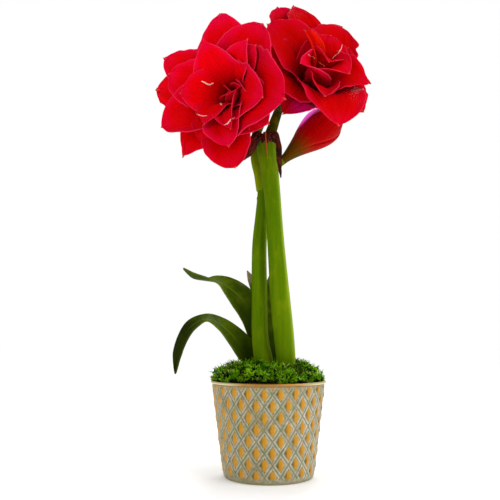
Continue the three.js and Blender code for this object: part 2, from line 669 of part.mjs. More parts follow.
export default plant;
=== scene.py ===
import random
from math import atan, atan2, cos, exp, hypot, log, pi, radians, sin, sqrt, tan

import bmesh
import bpy
from mathutils import Matrix, Vector, noise
from mathutils.bvhtree import BVHTree


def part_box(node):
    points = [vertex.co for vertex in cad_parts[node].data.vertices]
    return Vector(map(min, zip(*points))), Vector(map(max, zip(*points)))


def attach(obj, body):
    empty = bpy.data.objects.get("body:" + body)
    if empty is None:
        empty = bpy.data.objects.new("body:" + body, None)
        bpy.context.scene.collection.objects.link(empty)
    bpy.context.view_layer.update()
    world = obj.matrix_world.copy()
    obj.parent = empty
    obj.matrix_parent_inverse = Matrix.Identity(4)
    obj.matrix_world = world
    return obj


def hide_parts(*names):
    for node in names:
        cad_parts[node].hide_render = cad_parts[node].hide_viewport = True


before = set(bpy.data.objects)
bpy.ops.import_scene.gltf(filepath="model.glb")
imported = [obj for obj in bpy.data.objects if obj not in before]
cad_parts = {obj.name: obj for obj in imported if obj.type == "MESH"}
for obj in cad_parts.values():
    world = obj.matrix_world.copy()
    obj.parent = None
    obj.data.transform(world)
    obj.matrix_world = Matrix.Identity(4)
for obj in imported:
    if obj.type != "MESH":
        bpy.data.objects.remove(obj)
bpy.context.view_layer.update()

# Camera, floor and light. The view is the photograph's, from the height of the moss and a little
# upwards. The floor is a pale disc, under wide soft boxes on the left, on the right and behind, with
# a pale room all round.
CAMERA_PLACE = (-0.0203, -0.789, 0.1537)
CAMERA_TILT = radians(96.93)
LENS = 50.33
SENSOR_WIDTH = 36
FLOOR_RADIUS = 6
FOOT_GLOW = 0.2  # of the floor, more where the lamps no longer reach it
NEAR_GLOW = 0.33
FAR_GLOW = 0.6
SOFT_BOXES = [
    # name, place, what it points at, width, watts
    ("left_box", (-1.1, -0.8, 0.95), (0, 0, 0.35), 1.1, 5),
    ("right_box", (1.05, -0.75, 0.95), (0, 0, 0.3), 1.2, 11),
    ("back_box", (0.2, 0.9, 1.3), (0, 0, 0.4), 0.7, 8),
]
ROOM_LIGHT = 0.42  # the room looks white, but gives less light, so that the soft boxes show


def placed(name, data):
    """A new object in the scene."""
    thing = bpy.data.objects.new(name, data)
    bpy.context.scene.collection.objects.link(thing)
    return thing


camera = placed("camera", bpy.data.cameras.new("camera"))
camera.location = CAMERA_PLACE
camera.rotation_euler = (CAMERA_TILT, 0, 0)
camera.data.lens = LENS
camera.data.sensor_width = SENSOR_WIDTH
camera.data.clip_start = 0.01
bpy.context.scene.camera = camera
bpy.context.scene.view_settings.view_transform = "Standard"

for name, place, target, width, watts in SOFT_BOXES:
    box = placed(name, bpy.data.lights.new(name, "AREA"))
    box.data.size = width
    box.data.energy = watts
    box.location = place
    box.rotation_euler = (Vector(target) - Vector(place)).to_track_quat("-Z", "Y").to_euler()

room = bpy.data.worlds.new("pale_room")
room.use_nodes = True
nodes = room.node_tree.nodes
nodes["Background"].inputs["Color"].default_value = (1, 1, 1, 1)
brightness = nodes.new("ShaderNodeMapRange")
brightness.inputs["To Min"].default_value = ROOM_LIGHT
looked_at = nodes.new("ShaderNodeLightPath").outputs["Is Camera Ray"]
room.node_tree.links.new(looked_at, brightness.inputs["Value"])
room.node_tree.links.new(brightness.outputs["Result"], nodes["Background"].inputs["Strength"])
bpy.context.scene.world = room


class Wire:
    """The output of one shader node. Sums and products of wires add Math nodes."""

    def __init__(self, paint, socket):
        self.paint = paint
        self.socket = socket

    def maths(self, operation, *others):
        return self.paint.node("Math", dict(enumerate((self, *others))), operation=operation)

    def __add__(self, other):
        return self.maths("ADD", other)

    def __mul__(self, other):
        return self.maths("MULTIPLY", other)

    def __sub__(self, other):
        return self.maths("SUBTRACT", other)

    def __rsub__(self, other):
        return self.maths("MULTIPLY", -1) + other

    def __truediv__(self, other):
        return self.maths("DIVIDE", other)

    __radd__ = __add__

    def step(self, low, high):
        """0 below low, 1 above high and a smooth rise between."""
        inputs = {"Value": self, "From Min": low, "From Max": high}
        return self.paint.node("MapRange", inputs, interpolation_type="SMOOTHSTEP")

    def part(self, axis):
        """The X, Y or Z of a vector."""
        return self.paint.node("SeparateXYZ", {"Vector": self}, axis)


class Paint:
    """A finish made of shader nodes that end in one Principled shader."""

    def __init__(self, name, shine, **others):
        self.material = bpy.data.materials.new(name)
        self.material.use_nodes = True
        self.shader = self.material.node_tree.nodes["Principled BSDF"]
        self.place = self.node("TexCoord", {}, "Object")
        self.shader.inputs["Specular IOR Level"].default_value = shine
        self.fill_shader(**others)

    def node(self, kind, inputs, output=0, **settings):
        new = self.material.node_tree.nodes.new("ShaderNode" + kind)
        for name, value in settings.items():
            setattr(new, name, value)
        self.fill(new, inputs)
        return Wire(self, new.outputs[output])

    def fill(self, node, inputs):
        for name, value in inputs.items():
            if isinstance(value, Wire):
                self.material.node_tree.links.new(value.socket, node.inputs[name])
            else:
                node.inputs[name].default_value = value

    def fill_shader(self, **inputs):
        """Fills sockets of the shader, named with _ for each space."""
        self.fill(self.shader, {name.replace("_", " "): value for name, value in inputs.items()})

    def coat(self, roughness, *colours, **others):
        """Fills the shader. What is laid over the first colour follows it, as for layers."""
        self.fill_shader(Base_Color=layers(*colours), Roughness=roughness, **others)

    def noise(self, scale, detail=3, over=None):
        """Noise over the object's place or another vector, with one scale or one for each axis."""
        vector = over or self.place
        if isinstance(scale, tuple):
            vector = self.node("Mapping", {"Vector": vector, "Scale": scale})
            scale = 1
        return self.node("TexNoise", {"Vector": vector, "Scale": scale, "Detail": detail})

    def attribute(self, name):
        return self.node("Attribute", {}, "Fac", attribute_name=name)

    def own_map(self):
        """The piece's own map and the two halves of it."""
        whole = self.node("UVMap", {}, uv_map="map")
        return whole, whole.part("X"), whole.part("Y")

    def wear(self, piece):
        piece.data.materials.clear()
        piece.data.materials.append(self.material)


def dye(colour):
    """A wire as it is, or red, green and blue from 0 to 255 as a monitor shows them."""
    if isinstance(colour, Wire):
        return colour
    return (*(c / 255 / 12.92 if c < 10 else ((c / 255 + 0.055) / 1.055) ** 2.4 for c in colour), 1)


def mix(share, first, second):
    return share.paint.node("Mix", {0: share, 6: dye(first), 7: dye(second)}, 2, data_type="RGBA")


def layers(colour, *laid):
    """Lays colours over the first, one after the other, each given with its share."""
    for share, over in laid:
        colour = mix(share, colour, over)
    return colour


def bump(height, strength, distance):
    return height.paint.node("Bump", {"Height": height, "Strength": strength, "Distance": distance})


def piece_from(mesh, name):
    """Closes the modelling of a piece and puts it in the scene, smooth."""
    data = bpy.data.meshes.new(name)
    for face in mesh.faces:
        face.smooth = True
    mesh.to_mesh(data)
    mesh.free()
    return placed(name, data)


def fit(piece, paint, slot, *nodes):
    """Paints a piece of the plant, which stands in the one body and stands for its plain solids."""
    paint.wear(piece)
    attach(piece, "root")
    if nodes:
        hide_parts(*nodes)


floor_mesh = bmesh.new()
bmesh.ops.create_circle(floor_mesh, cap_ends=True, segments=64, radius=FLOOR_RADIUS)
floor = piece_from(floor_mesh, "floor")
floor_paint = Paint("pale_floor", 0.2, Emission_Strength=1)
far_off = floor_paint.node("VectorMath", {0: floor_paint.place}, "Value", operation="LENGTH")
glow = far_off.step(0.05, 0.12) * (NEAR_GLOW - FOOT_GLOW) + FOOT_GLOW
glow = far_off.step(0.6, 1.8) * (FAR_GLOW - glow) + glow
floor_paint.coat(
    0.9,
    mix(floor_paint.noise(40), (250, 250, 250), (254, 254, 254)),
    Emission_Color=glow,
)
floor_paint.wear(floor)

# Pot: spun sheet metal with a rolled lip. Rows of lozenges were pressed into the flat sheet, so
# they follow a straight grid on the unrolled cone. The grey-green paint is rubbed off the
# lozenges and the lip down to a gold undercoat.
POT_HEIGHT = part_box("pot")[1].z
POT_BASE_RADIUS = 0.049
POT_RIM_RADIUS = 0.0626
POT_WALL = 0.0014
POT_FLOOR = 0.002
INSIDE_ROUND = 0.002
LIP_RADIUS = 0.0015
FOOT_ROUND = 0.003
POT_SEGMENTS = 480
WALL_ROWS = 140
PITCH_ACROSS = 0.0169
PITCH_DOWN = 0.01215
FIRST_COLUMN = -0.0057
TOP_ROW = 0.0926
HALF_WIDE = 0.0047 / PITCH_ACROSS  # of a lozenge, in pitches
HALF_HIGH = 0.0085 / PITCH_DOWN
LOZENGE_RISE = 0.0011
RIDGE_RISE = 0.00045
RIDGE_AT = 0.76  # of the way from a lozenge's middle to the groove round its cell
GROOVE_DEPTH = 0.00035
PATTERN_TOP = 0.0992
PATTERN_FOOT = 0.0058
pot_slope = atan((POT_RIM_RADIUS - POT_BASE_RADIUS) / POT_HEIGHT)


def bell(value, middle, width):
    """1 at the middle, falling softly to either side."""
    return exp(-(((value - middle) / width) ** 2))


def arc(radius, height, size, turns):
    """Points of [radius, height] round a middle, at turns in degrees."""
    return [(radius + size * cos(radians(turn)), height + size * sin(radians(turn))) for turn in turns]


def pot_radius(height):
    return POT_BASE_RADIUS + height * tan(pot_slope)


def pot_profile():
    """Points of [radius, height] from the middle of the base, over the lip, to the inside."""
    lip_middle = POT_HEIGHT - LIP_RADIUS
    neck = lip_middle - LIP_RADIUS
    inside = pot_radius(POT_FLOOR) - POT_WALL
    heights = [FOOT_ROUND + (neck - FOOT_ROUND) * row / WALL_ROWS for row in range(1, WALL_ROWS + 1)]
    return [
        (0, 0),
        (POT_BASE_RADIUS / 2, 0),
        *arc(POT_BASE_RADIUS - FOOT_ROUND, FOOT_ROUND, FOOT_ROUND, range(-90, 1, 15)),
        *((pot_radius(height), height) for height in heights),
        *arc(pot_radius(lip_middle), lip_middle, LIP_RADIUS, range(-60, 151, 21)),
        (pot_radius(neck) - POT_WALL, neck),
        (inside, POT_FLOOR + INSIDE_ROUND),
        (inside - INSIDE_ROUND, POT_FLOOR),
        (0, POT_FLOOR),
    ]


def turned(points, steps):
    """A mesh turned round the upright axis from the points of its section."""
    mesh = bmesh.new()
    section = [mesh.verts.new(point) for point in points]
    section += [mesh.edges.new(pair) for pair in zip(section, section[1:])]
    bmesh.ops.spin(
        mesh, geom=section, cent=(0, 0, 0), axis=(0, 0, 1), angle=2 * pi, steps=steps, use_merge=True)
    bmesh.ops.remove_doubles(mesh, verts=mesh.verts[:], dist=1e-6)
    return mesh


def on_sheet(turn, height):
    """Where a point of the cone lies on the unrolled sheet, in lozenge pitches."""
    apex = pot_radius(height) / sin(pot_slope)
    unrolled = turn * sin(pot_slope)
    top = pot_radius(TOP_ROW) / sin(pot_slope)
    return (
        (apex * sin(unrolled) - FIRST_COLUMN) / PITCH_ACROSS,
        (top - apex * cos(unrolled)) / PITCH_DOWN,
    )


def pingpong(value, half):
    if isinstance(value, Wire):
        return value.maths("PINGPONG", half)
    return half - abs(value % (2 * half) - half)


def least(first, second):
    return first.maths("MINIMUM", second) if isinstance(first, Wire) else min(first, second)


def pattern(column, row):
    """For numbers or wires: how far across and down a point lies from a lozenge's middle, its place
    in the lozenge, which is 1 at the edge, and in the cell, which is 1 at the groove."""
    across = pingpong(column, 0.5)
    down = pingpong(row, 1)
    lozenge = least(
        across / HALF_WIDE + down / HALF_HIGH, (0.5 - across) / HALF_WIDE + (1 - down) / HALF_HIGH)
    cell = across * 2 + down
    return across, down, lozenge, least(cell, 2 - cell)


def pressed(turn, height):
    """How far the sheet stands out of the cone at a point."""
    lozenge, cell = pattern(*on_sheet(turn, height))[2:]
    rise = LOZENGE_RISE * min(1, 1.15 * max(0, 1.05 - lozenge))
    rise += RIDGE_RISE * bell(cell, RIDGE_AT, 0.06) - GROOVE_DEPTH * bell(cell, 1, 0.07)
    fade_top = min(1, max(0, (PATTERN_TOP - height) / 0.0012))
    fade_foot = min(1, max(0, (height - PATTERN_FOOT) / 0.002))
    return rise * fade_top * fade_foot


def turn_of(point):
    return atan2(point.x, -point.y)


pot_mesh = turned([(0, -radius, height) for radius, height in pot_profile()], POT_SEGMENTS)
bmesh.ops.recalc_face_normals(pot_mesh, faces=pot_mesh.faces[:])
sheet_layer = pot_mesh.loops.layers.uv.new("map")
for face in pot_mesh.faces:
    middle = turn_of(face.calc_center_median())
    for corner in face.loops:
        turn = turn_of(corner.vert.co)
        turn -= 2 * pi * round((turn - middle) / (2 * pi))
        corner[sheet_layer].uv = on_sheet(turn, corner.vert.co.z)
for corner in pot_mesh.verts:
    radius = hypot(corner.co.x, corner.co.y)
    if radius > pot_radius(corner.co.z) - 1e-5 and corner.co.z < POT_HEIGHT - 2 * LIP_RADIUS:
        corner.co.xy *= 1 + pressed(turn_of(corner.co), corner.co.z) / radius

pot_paint = Paint("rubbed_pot_paint", 0.35)
column, row = pot_paint.own_map()[1:]
across, down, lozenge, cell = pattern(column, row)
side = pot_paint.place.part("X")
height = pot_paint.place.part("Z")
cloud = pot_paint.noise(38)
tinge = pot_paint.noise((95, 95, 57), 2)
speck = pot_paint.noise(900, 4)
flake = pot_paint.noise(300, 4)
scuff = pot_paint.noise(260, 5)
scuffed = scuff - 0.5
patterned = height.step(PATTERN_FOOT - 0.001, PATTERN_FOOT + 0.001)
patterned = patterned * (1 - height.step(PATTERN_TOP - 0.0008, PATTERN_TOP + 0.0008))
rubbed = (1 - (lozenge + scuffed * 0.6).step(0.72, 1.06)) * patterned
ridge = 1 - ((cell - RIDGE_AT).maths("ABSOLUTE") + scuffed * 0.12).step(0.02, 0.07)
ridge = ridge * patterned * (cloud + tinge).step(0.75, 1.15)
groove = (cell + scuffed * 0.08).step(0.92, 0.98) * patterned
# Painted light: the pot's right side, and its ridges more so, are painted paler where the lamps fall.
lit_side = side.step(-0.03, 0.035)
even = (column + 0.5).maths("FRACT") - 0.5
odd = column.maths("FRACT") - 0.5
facet = (even + (odd - even) * down.step(0.49, 0.51)) / HALF_WIDE + scuffed * 0.5
# Painted shade along the left rim of each lozenge.
shaded_rim = (1 - lozenge.step(1, 1.3)) * (1 - facet.step(-0.2, 0.5)) * patterned
bare_foot = 1 - (height + scuffed * 0.0012).step(0.0022, 0.0034)
lip_line = POT_HEIGHT - 2 * LIP_RADIUS
bare_lip = height.step(lip_line - 0.0002, lip_line + 0.0004)
# Painted shade: a darker brown band just under the rolled lip.
painted_shade_under_lip = height.step(lip_line - 0.0016, lip_line - 0.0003) * (1 - bare_lip)
smudge = (across * 2 + (cloud - 0.5) * 0.8).step(0.55, 0.9) * height.step(PATTERN_TOP - 0.004, PATTERN_TOP)
lip_side = side.maths("ABSOLUTE") + (cloud - 0.5) * 0.02
# Painted light and shade on the rubbed gold: dark olive on the left half of each lozenge, bright gold on
# the right.
gold = layers(
    (92, 78, 10),
    (facet.step(-0.85, -0.15), (198, 140, 24)),
    (facet.step(0.2, 0.8) * 0.6, (222, 166, 80)),
    (flake.step(0.5, 0.7) * 0.2, (160, 120, 30)),
)
# Painted highlights: the lip's gold turns pale cream towards its left and right ends; the scuffs are wear.
lip_gold_with_painted_highlights = layers(
    (168, 112, 34), (lip_side.step(0.026, 0.05), (226, 212, 164)), (scuff * 0.3, (222, 190, 116)))
metal = (rubbed * 0.2).maths("MAXIMUM", bare_lip * 0.7)
pot_paint.coat(
    0.52 - metal * 0.2 + (speck - 0.5) * 0.15,
    (134, 128, 80),
    (cloud.step(0.36, 0.62), (138, 144, 110)),
    (lit_side * 0.45, (170, 168, 150)),
    (tinge.step(0.52, 0.68) * 0.6, (172, 156, 140)),
    ((1 - tinge).step(0.54, 0.7) * 0.5, (142, 150, 104)),
    (speck.step(0.48, 0.62) * 0.35, (192, 188, 160)),
    (flake.step(0.5, 0.62) * 0.45, (188, 164, 146)),
    ((1 - flake).step(0.5, 0.62) * 0.55, (112, 124, 98)),
    (ridge * (0.6 + lit_side * 0.35), (224, 220, 200)),
    (groove * 0.65, (92, 88, 66)),
    (shaded_rim * 0.4, (98, 90, 48)),
    (smudge * 0.55, (186, 134, 62)),
    (rubbed, gold),
    (painted_shade_under_lip * 0.6, (112, 90, 44)),
    (bare_foot * 0.6, (138, 120, 72)),
    (bare_lip, lip_gold_with_painted_highlights),
    Metallic=metal,
    Normal=bump(speck * 0.4 + scuff * 0.6, 0.25, 0.0004),
)
fit(piece_from(pot_mesh, "pot_metal"), pot_paint, "pot_metal", "pot")

# Soil: dark potting soil that fills the pot to the bulb's shoulder, under the moss.
soil_paint = Paint("potting_soil", 0.2)
crumb = soil_paint.noise(420, 6)
soil_paint.coat(
    0.85 + crumb * 0.15,
    mix(crumb.step(0.35, 0.7), (24, 15, 9), (78, 54, 34)),
    Normal=bump(crumb, 0.9, 0.002),
)
soil_paint.wear(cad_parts["soil"])

# Bulb: dry papery scales round a fleshy core, with pale roots below. It lies in the soil and the
# moss, and its scales run from the root plate up to the neck.
bulb_paint = Paint("bulb_scales", 0.3)
skin = bulb_paint.noise((160, 160, 12), 5)
dry_skin = mix(skin.step(0.3, 0.7), (98, 58, 28), (172, 122, 70))
bulb_paint.coat(
    0.6 + skin * 0.2,
    mix(bulb_paint.place.part("Z").step(0.032, 0.036), (214, 202, 168), dry_skin),
    Normal=bump(skin, 0.6, 0.001),
)
bulb_paint.wear(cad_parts["bulb"])

# Moss: a loose cushion of curly sprigs laid over the soil, heaped a little higher on the right,
# with brown bits on the left. A lumpy bed lies under the sprigs, painted near black as the shade
# between them.
MOSS_RADIUS = 0.062
MOSS_EDGE = 0.1028
MOSS_CREST = 0.1172
BED_DEPTH = 0.0012
SKIRT_FOOT = 0.0935
SPRIGS = 1450
SPRIG_HEIGHT = 0.0066
SPRIG_LEAFLETS = 8
SPRIG_DEPTH = 0.0018
STANDING = [
    # what the sprigs keep clear of: x, y, radius
    (0.0202, -0.006, 0.0118),
    (-0.0045, 0.007, 0.0122),
]


def moss_height(x, y):
    share = min(1, hypot(x, y) / MOSS_RADIUS)
    dome = MOSS_EDGE + (MOSS_CREST - MOSS_EDGE) * (1 - share ** 2.6) ** 0.85
    lumps = 0.0024 * sin(230 * x + 1) * cos(210 * y) + 0.0016 * sin(510 * x + 370 * y)
    heap = 0.0035 * bell(x, 0.036, 0.013) * bell(y, 0, 0.026)
    hollow = 0.003 * bell(x, 0.004, 0.016) * bell(y, -0.022, 0.014)
    return dome + (lumps + heap - hollow) * (1 - share ** 4)


def rims(mesh):
    return [edge for edge in mesh.edges if edge.is_boundary]


def close(mesh):
    """Fills what is open and turns all faces outwards."""
    bmesh.ops.holes_fill(mesh, edges=rims(mesh))
    bmesh.ops.recalc_face_normals(mesh, faces=mesh.faces[:])


bed_mesh = turned([(MOSS_RADIUS * step / 40, 0, 0) for step in range(41)], 144)
for corner in bed_mesh.verts:
    crumple = noise.fractal(corner.co * 160, 1, 2, 4) * 0.0013
    corner.co.z = moss_height(corner.co.x, corner.co.y) + crumple - BED_DEPTH
for corner in bmesh.ops.extrude_edge_only(bed_mesh, edges=rims(bed_mesh))["geom"]:
    if isinstance(corner, bmesh.types.BMVert):
        corner.co.xy *= 0.965
        corner.co.z = SKIRT_FOOT
close(bed_mesh)

bed_paint = Paint("moss_bed_painted_shade", 0.15)
tangle = bed_paint.noise(520, 6)
patches = bed_paint.noise(60)
# The bed's near black is painted shade between the sprigs; its brown and green patches are its own colour.
bed_paint.coat(
    0.8 + tangle * 0.2,
    (6, 16, 0),
    (patches.step(0.42, 0.6), (28, 22, 6)),
    (tangle.step(0.5, 0.75), (36, 68, 6)),
    Normal=bump(tangle, 1, 0.003),
)
fit(piece_from(bed_mesh, "moss_bed_painted_shade"), bed_paint, "moss", "moss")


def polar(radius, turn, height):
    return Vector((radius * cos(turn), radius * sin(turn), height))


def leaflet(mesh, foot, tip, width, flat):
    """A three-sided pointed sliver from foot to tip, flattened by flat."""
    way = tip - foot
    upright = Vector((0, 0, 1)).rotation_difference(way).to_matrix().to_4x4()
    stand = Matrix.Translation((foot + tip) / 2) @ upright @ Matrix.Diagonal((1, flat, 1, 1))
    bmesh.ops.create_cone(
        mesh, cap_ends=True, cap_tris=False, segments=3, radius1=width, radius2=width * 0.15,
        depth=way.length, matrix=stand)


def sprig_mesh(draw):
    """One curly sprig standing on the origin: a bent stalk with leaflets to all sides."""
    mesh = bmesh.new()
    lean = draw.uniform(0, 2 * pi)
    curl = draw.uniform(0.3, 1.1)
    spine = []
    for step in range(5):
        share = step / 4
        rise = SPRIG_HEIGHT * sin(share * 1.9) / sin(1.9)
        spine.append(polar(curl * share ** 2 * 0.0045, lean, rise))
    for foot, tip in zip(spine, spine[1:]):
        leaflet(mesh, foot, tip, 0.00045, 1)
    for number in range(SPRIG_LEAFLETS):
        share = 0.2 + 0.8 * number / (SPRIG_LEAFLETS - 1)
        foot = spine[min(4, int(share * 4))]
        turn = number * 2.4 + lean
        reach = 0.004 * (1.1 - 0.4 * share)
        leaflet(mesh, foot, foot + polar(reach, turn, reach * draw.uniform(0.1, 1.1)), 0.00075, 0.45)
    data = bpy.data.meshes.new("sprig")
    mesh.to_mesh(data)
    mesh.free()
    data.attributes.new("tint", "FLOAT", "POINT")
    lift = data.attributes.new("lift", "FLOAT", "POINT")
    lift.data.foreach_set("value", [corner.co.z / 0.006 for corner in data.vertices])
    return data


draw = random.Random(11)
kinds = [sprig_mesh(draw) for kind in range(6)]
sprigs_mesh = bmesh.new()
for number in range(SPRIGS):
    spread = MOSS_RADIUS * sqrt(draw.random())
    turn = draw.uniform(0, 2 * pi)
    x = spread * cos(turn)
    y = spread * sin(turn)
    size = draw.uniform(0.65, 1.5)
    tilt = draw.uniform(0, 0.95)
    if number % 4 == 0:
        # the fringe at the lip
        x, y = (MOSS_RADIUS * draw.uniform(0.93, 0.985) * part for part in (cos(turn), sin(turn)))
        size *= 0.6
        tilt *= 0.5
    heading = draw.uniform(0, 2 * pi)
    spin = draw.uniform(0, 2 * pi)
    tint = draw.random()
    kind = kinds[draw.randrange(len(kinds))]
    if any(hypot(x - a, y - b) < clear for a, b, clear in STANDING):
        continue
    if number % 4 and spread > 0.9 * MOSS_RADIUS:
        # at the lip the sprigs lean inwards, but for a few at either side that hang over it
        if abs(x) > 0.052 and draw.random() < 0.35:
            heading = turn
            size = min(size, 0.85)
        else:
            heading = turn + pi + heading * 0.1
            x, y = x * 0.97, y * 0.97
    stand = Matrix.Translation((x, y, moss_height(x, y) - SPRIG_DEPTH))
    stand = stand @ Matrix.Rotation(tilt, 4, (-sin(heading), cos(heading), 0))
    stand = stand @ Matrix.Rotation(spin, 4, "Z") @ Matrix.Scale(size, 4)
    kind.attributes["tint"].data.foreach_set("value", [tint] * len(kind.vertices))
    kind.transform(stand)
    sprigs_mesh.from_mesh(kind)
    kind.transform(stand.inverted())

sprig_paint = Paint("moss_sprigs", 0.05)
tint = sprig_paint.attribute("tint")
lift = sprig_paint.attribute("lift")
# Greens picked at random per sprig; the palest stand partly for painted highlights.
leaf_green = layers(
    (60, 128, 3), (tint, (156, 220, 16)), (tint.step(0.8, 0.95), (212, 234, 110)))
# Painted shade: sprigs and brown bits darken towards their feet, down to near black deep in the cushion.
brown = mix(lift.step(0, 0.9), (20, 20, 3), (74, 84, 14))
sprig_paint.coat(
    0.5 + tint * 0.3,
    (1, 8, 0),
    ((lift + (sprig_paint.noise(120, 2) - 0.5) * 7).step(0.4, 1.2), leaf_green),
    ((sprig_paint.noise(45) + (tint - 0.5) * 0.25).step(0.6, 0.68), brown),
)
fit(piece_from(sprigs_mesh, "moss_sprigs"), sprig_paint, "moss")


# Scapes: two fleshy round flower stems that taper upwards, with a fine bloom of wax. The front
# one carries the right flower; the rear one carries the left flower and the bud.
def mm(*points):
    """Points given in millimetres."""
    return [tuple(part / 1000 for part in point) for point in points]


FRONT_SCAPE = mm(
    (20.5, -6, 99), (19.2, -6, 132), (13.6, -7, 192), (9.2, -9, 249), (4.5, -12, 315), (-0.3, -14, 355),
    (-1.3, -14, 378))
REAR_SCAPE = mm(
    (-3, 7, 99), (-3.8, 7, 118), (-7.2, 7, 138), (-9.2, 7.2, 158), (-9.5, 8, 193), (-9.6, 9, 251),
    (-6.2, 11, 292), (-4.5, 12, 313), (-4.8, 12, 327))
LEFT_BLOOM_BASE = Vector((-0.0161, 0.0081, 0.416))
LEFT_BLOOM_FACES = Vector((-0.5, -0.86, 0.04)).normalized()
RIGHT_BLOOM_BASE = Vector((0.0429, 0.017, 0.4276))
RIGHT_BLOOM_FACES = Vector((0.3, -0.88, 0.36)).normalized()
BUD_BASE = Vector((0.0168, 0.01, 0.355))
BUD_TIP = Vector((0.0925, 0.033, 0.4275))
SCAPE_SIDES = 48
PEDICEL_SIDES = 36


def through(points, share):
    """The point at a share of the way through a list, by its numbering, on a smooth curve."""
    points = [Vector(p) for p in points]
    spot = share * (len(points) - 1)
    i = min(int(spot), len(points) - 2)
    start, end = points[i], points[i + 1]
    first = (end - points[max(i - 1, 0)]) / 2
    last = (points[min(i + 2, len(points) - 1)] - start) / 2
    t = spot - i
    return (start * (2 * t ** 3 - 3 * t ** 2 + 1) + first * (t ** 3 - 2 * t ** 2 + t)
            + end * (3 * t ** 2 - 2 * t ** 3) + last * (t ** 3 - t ** 2))


def smooth_path(points, steps):
    """Evenly spaced points on a smooth curve through the given ones."""
    count = 23 * (len(points) - 1)
    dense = [through(points, number / count) for number in range(count + 1)]
    lengths = [0]
    for a, b in zip(dense, dense[1:]):
        lengths.append(lengths[-1] + (b - a).length)
    even = []
    piece = 0
    for step in range(steps + 1):
        target = lengths[-1] * step / steps
        while piece < len(dense) - 2 and lengths[piece + 1] < target:
            piece += 1
        share = (target - lengths[piece]) / (lengths[piece + 1] - lengths[piece])
        even.append(dense[piece].lerp(dense[piece + 1], min(1, share)))
    return even


def sheet(mesh, columns, rows, surface):
    """A grid laid out by surface(u, v), both from 0 to 1, with u and v kept in its own map."""
    layer = mesh.loops.layers.uv.get("map") or mesh.loops.layers.uv.new("map")
    made = bmesh.ops.create_grid(mesh, x_segments=columns, y_segments=rows, size=1)["verts"]
    spot = {corner: ((corner.co.x + 1) / 2, (corner.co.y + 1) / 2) for corner in made}
    for face in {face for corner in made for face in corner.link_faces}:
        for corner in face.loops:
            corner[layer].uv = spot[corner.vert]
    for corner in made:
        corner.co = surface(*spot[corner])
    return made


def stalk(mesh, path, radius, rows, sides):
    """A round stalk along a path, closed at both ends. radius(share, turn) is its half-thickness."""
    spine = smooth_path(path, rows)
    aside = (spine[1] - spine[0]).orthogonal().normalized()
    frames = []
    for i, middle in enumerate(spine):
        along = (spine[min(i + 1, rows)] - spine[max(i - 1, 0)]).normalized()
        aside = (aside - along * aside.dot(along)).normalized()
        frames.append((middle, aside, along.cross(aside)))

    def surface(u, v):
        middle, first, second = frames[round(v * rows)]
        turn = 2 * pi * u
        return middle + (first * cos(turn) + second * sin(turn)) * radius(v, turn)

    made = sheet(mesh, sides, rows, surface)
    bmesh.ops.remove_doubles(mesh, verts=made, dist=1e-7)
    bmesh.ops.holes_fill(mesh, edges=rims(mesh))


def stem(name, path, radius, rows, sides):
    """One stalk as a piece of its own."""
    mesh = bmesh.new()
    stalk(mesh, path, radius, rows, sides)
    return piece_from(mesh, name)


def front_radius(share, turn):
    ribs = 0.00012 * sin(9 * turn + 2 * sin(3 * share)) + 0.00006 * sin(23 * turn)
    return 0.009 + 0.0023 * bell(share, 0.25, 0.25) + 0.0026 * bell(share, 1, 0.15) + ribs


def rear_radius(share, turn):
    ribs = 0.00012 * sin(8 * turn + 2 * sin(4 * share)) + 0.00006 * sin(21 * turn)
    joint = 0.0007 * bell(share, 0.93, 0.008)
    return 0.009 - 0.002 * share ** 2.5 + 0.0026 * bell(share, 0, 0.17) + ribs + joint


def pedicel(name, path, base, faces, girth):
    """The stalk of one flower, which swells to a three-lobed ovary below it."""
    def radius(share, turn):
        ovary = 0.2 * bell(share, 0.82, 0.12) + 0.3 * bell(share, 0, 0.3)
        return girth * (1 + ovary + 0.035 * cos(3 * turn) * bell(share, 0.82, 0.2))

    end = base - faces * 0.00035
    return stem(name, [*path, end - faces * 0.009, end], radius, 60, PEDICEL_SIDES)


def stem_paint(name, low, high, streak, stripes, lit=0):
    """Waxy green from low to high along the stem, with fine streaks and a painted highlight, by lit, on the
    side that faces right.
    """
    paint = Paint(name, 0.012, Sheen_Weight=0.08, Sheen_Roughness=0.35, Sheen_Tint=(0.7, 1, 0.05, 1))
    along = paint.own_map()[2]
    fine = paint.noise((420, 420, 14), 4)
    mottle = paint.noise(330, 4)
    facing = paint.node("NewGeometry", {}, "Normal").part("X")
    paint.coat(
        0.42 + fine * 0.15,
        low,
        (along.step(0, 1), high),
        (paint.noise((110, 110, 7)).step(0.38, 0.62) * 0.5, streak),
        (fine.step(0.5, 0.75) * stripes, streak),
        (paint.noise((60, 60, 30)).step(0.5, 0.68) * 0.3, (132, 150, 10)),
        # Painted highlight on the side that faces right, by lit.
        (facing.step(0.5, 0.95) * lit, (170, 196, 50)),
        (mottle.step(0.5, 0.75) * 0.2, (60, 92, 2)),
        Normal=bump(fine + mottle * 0.4, 0.25, 0.0006),
    )
    return paint


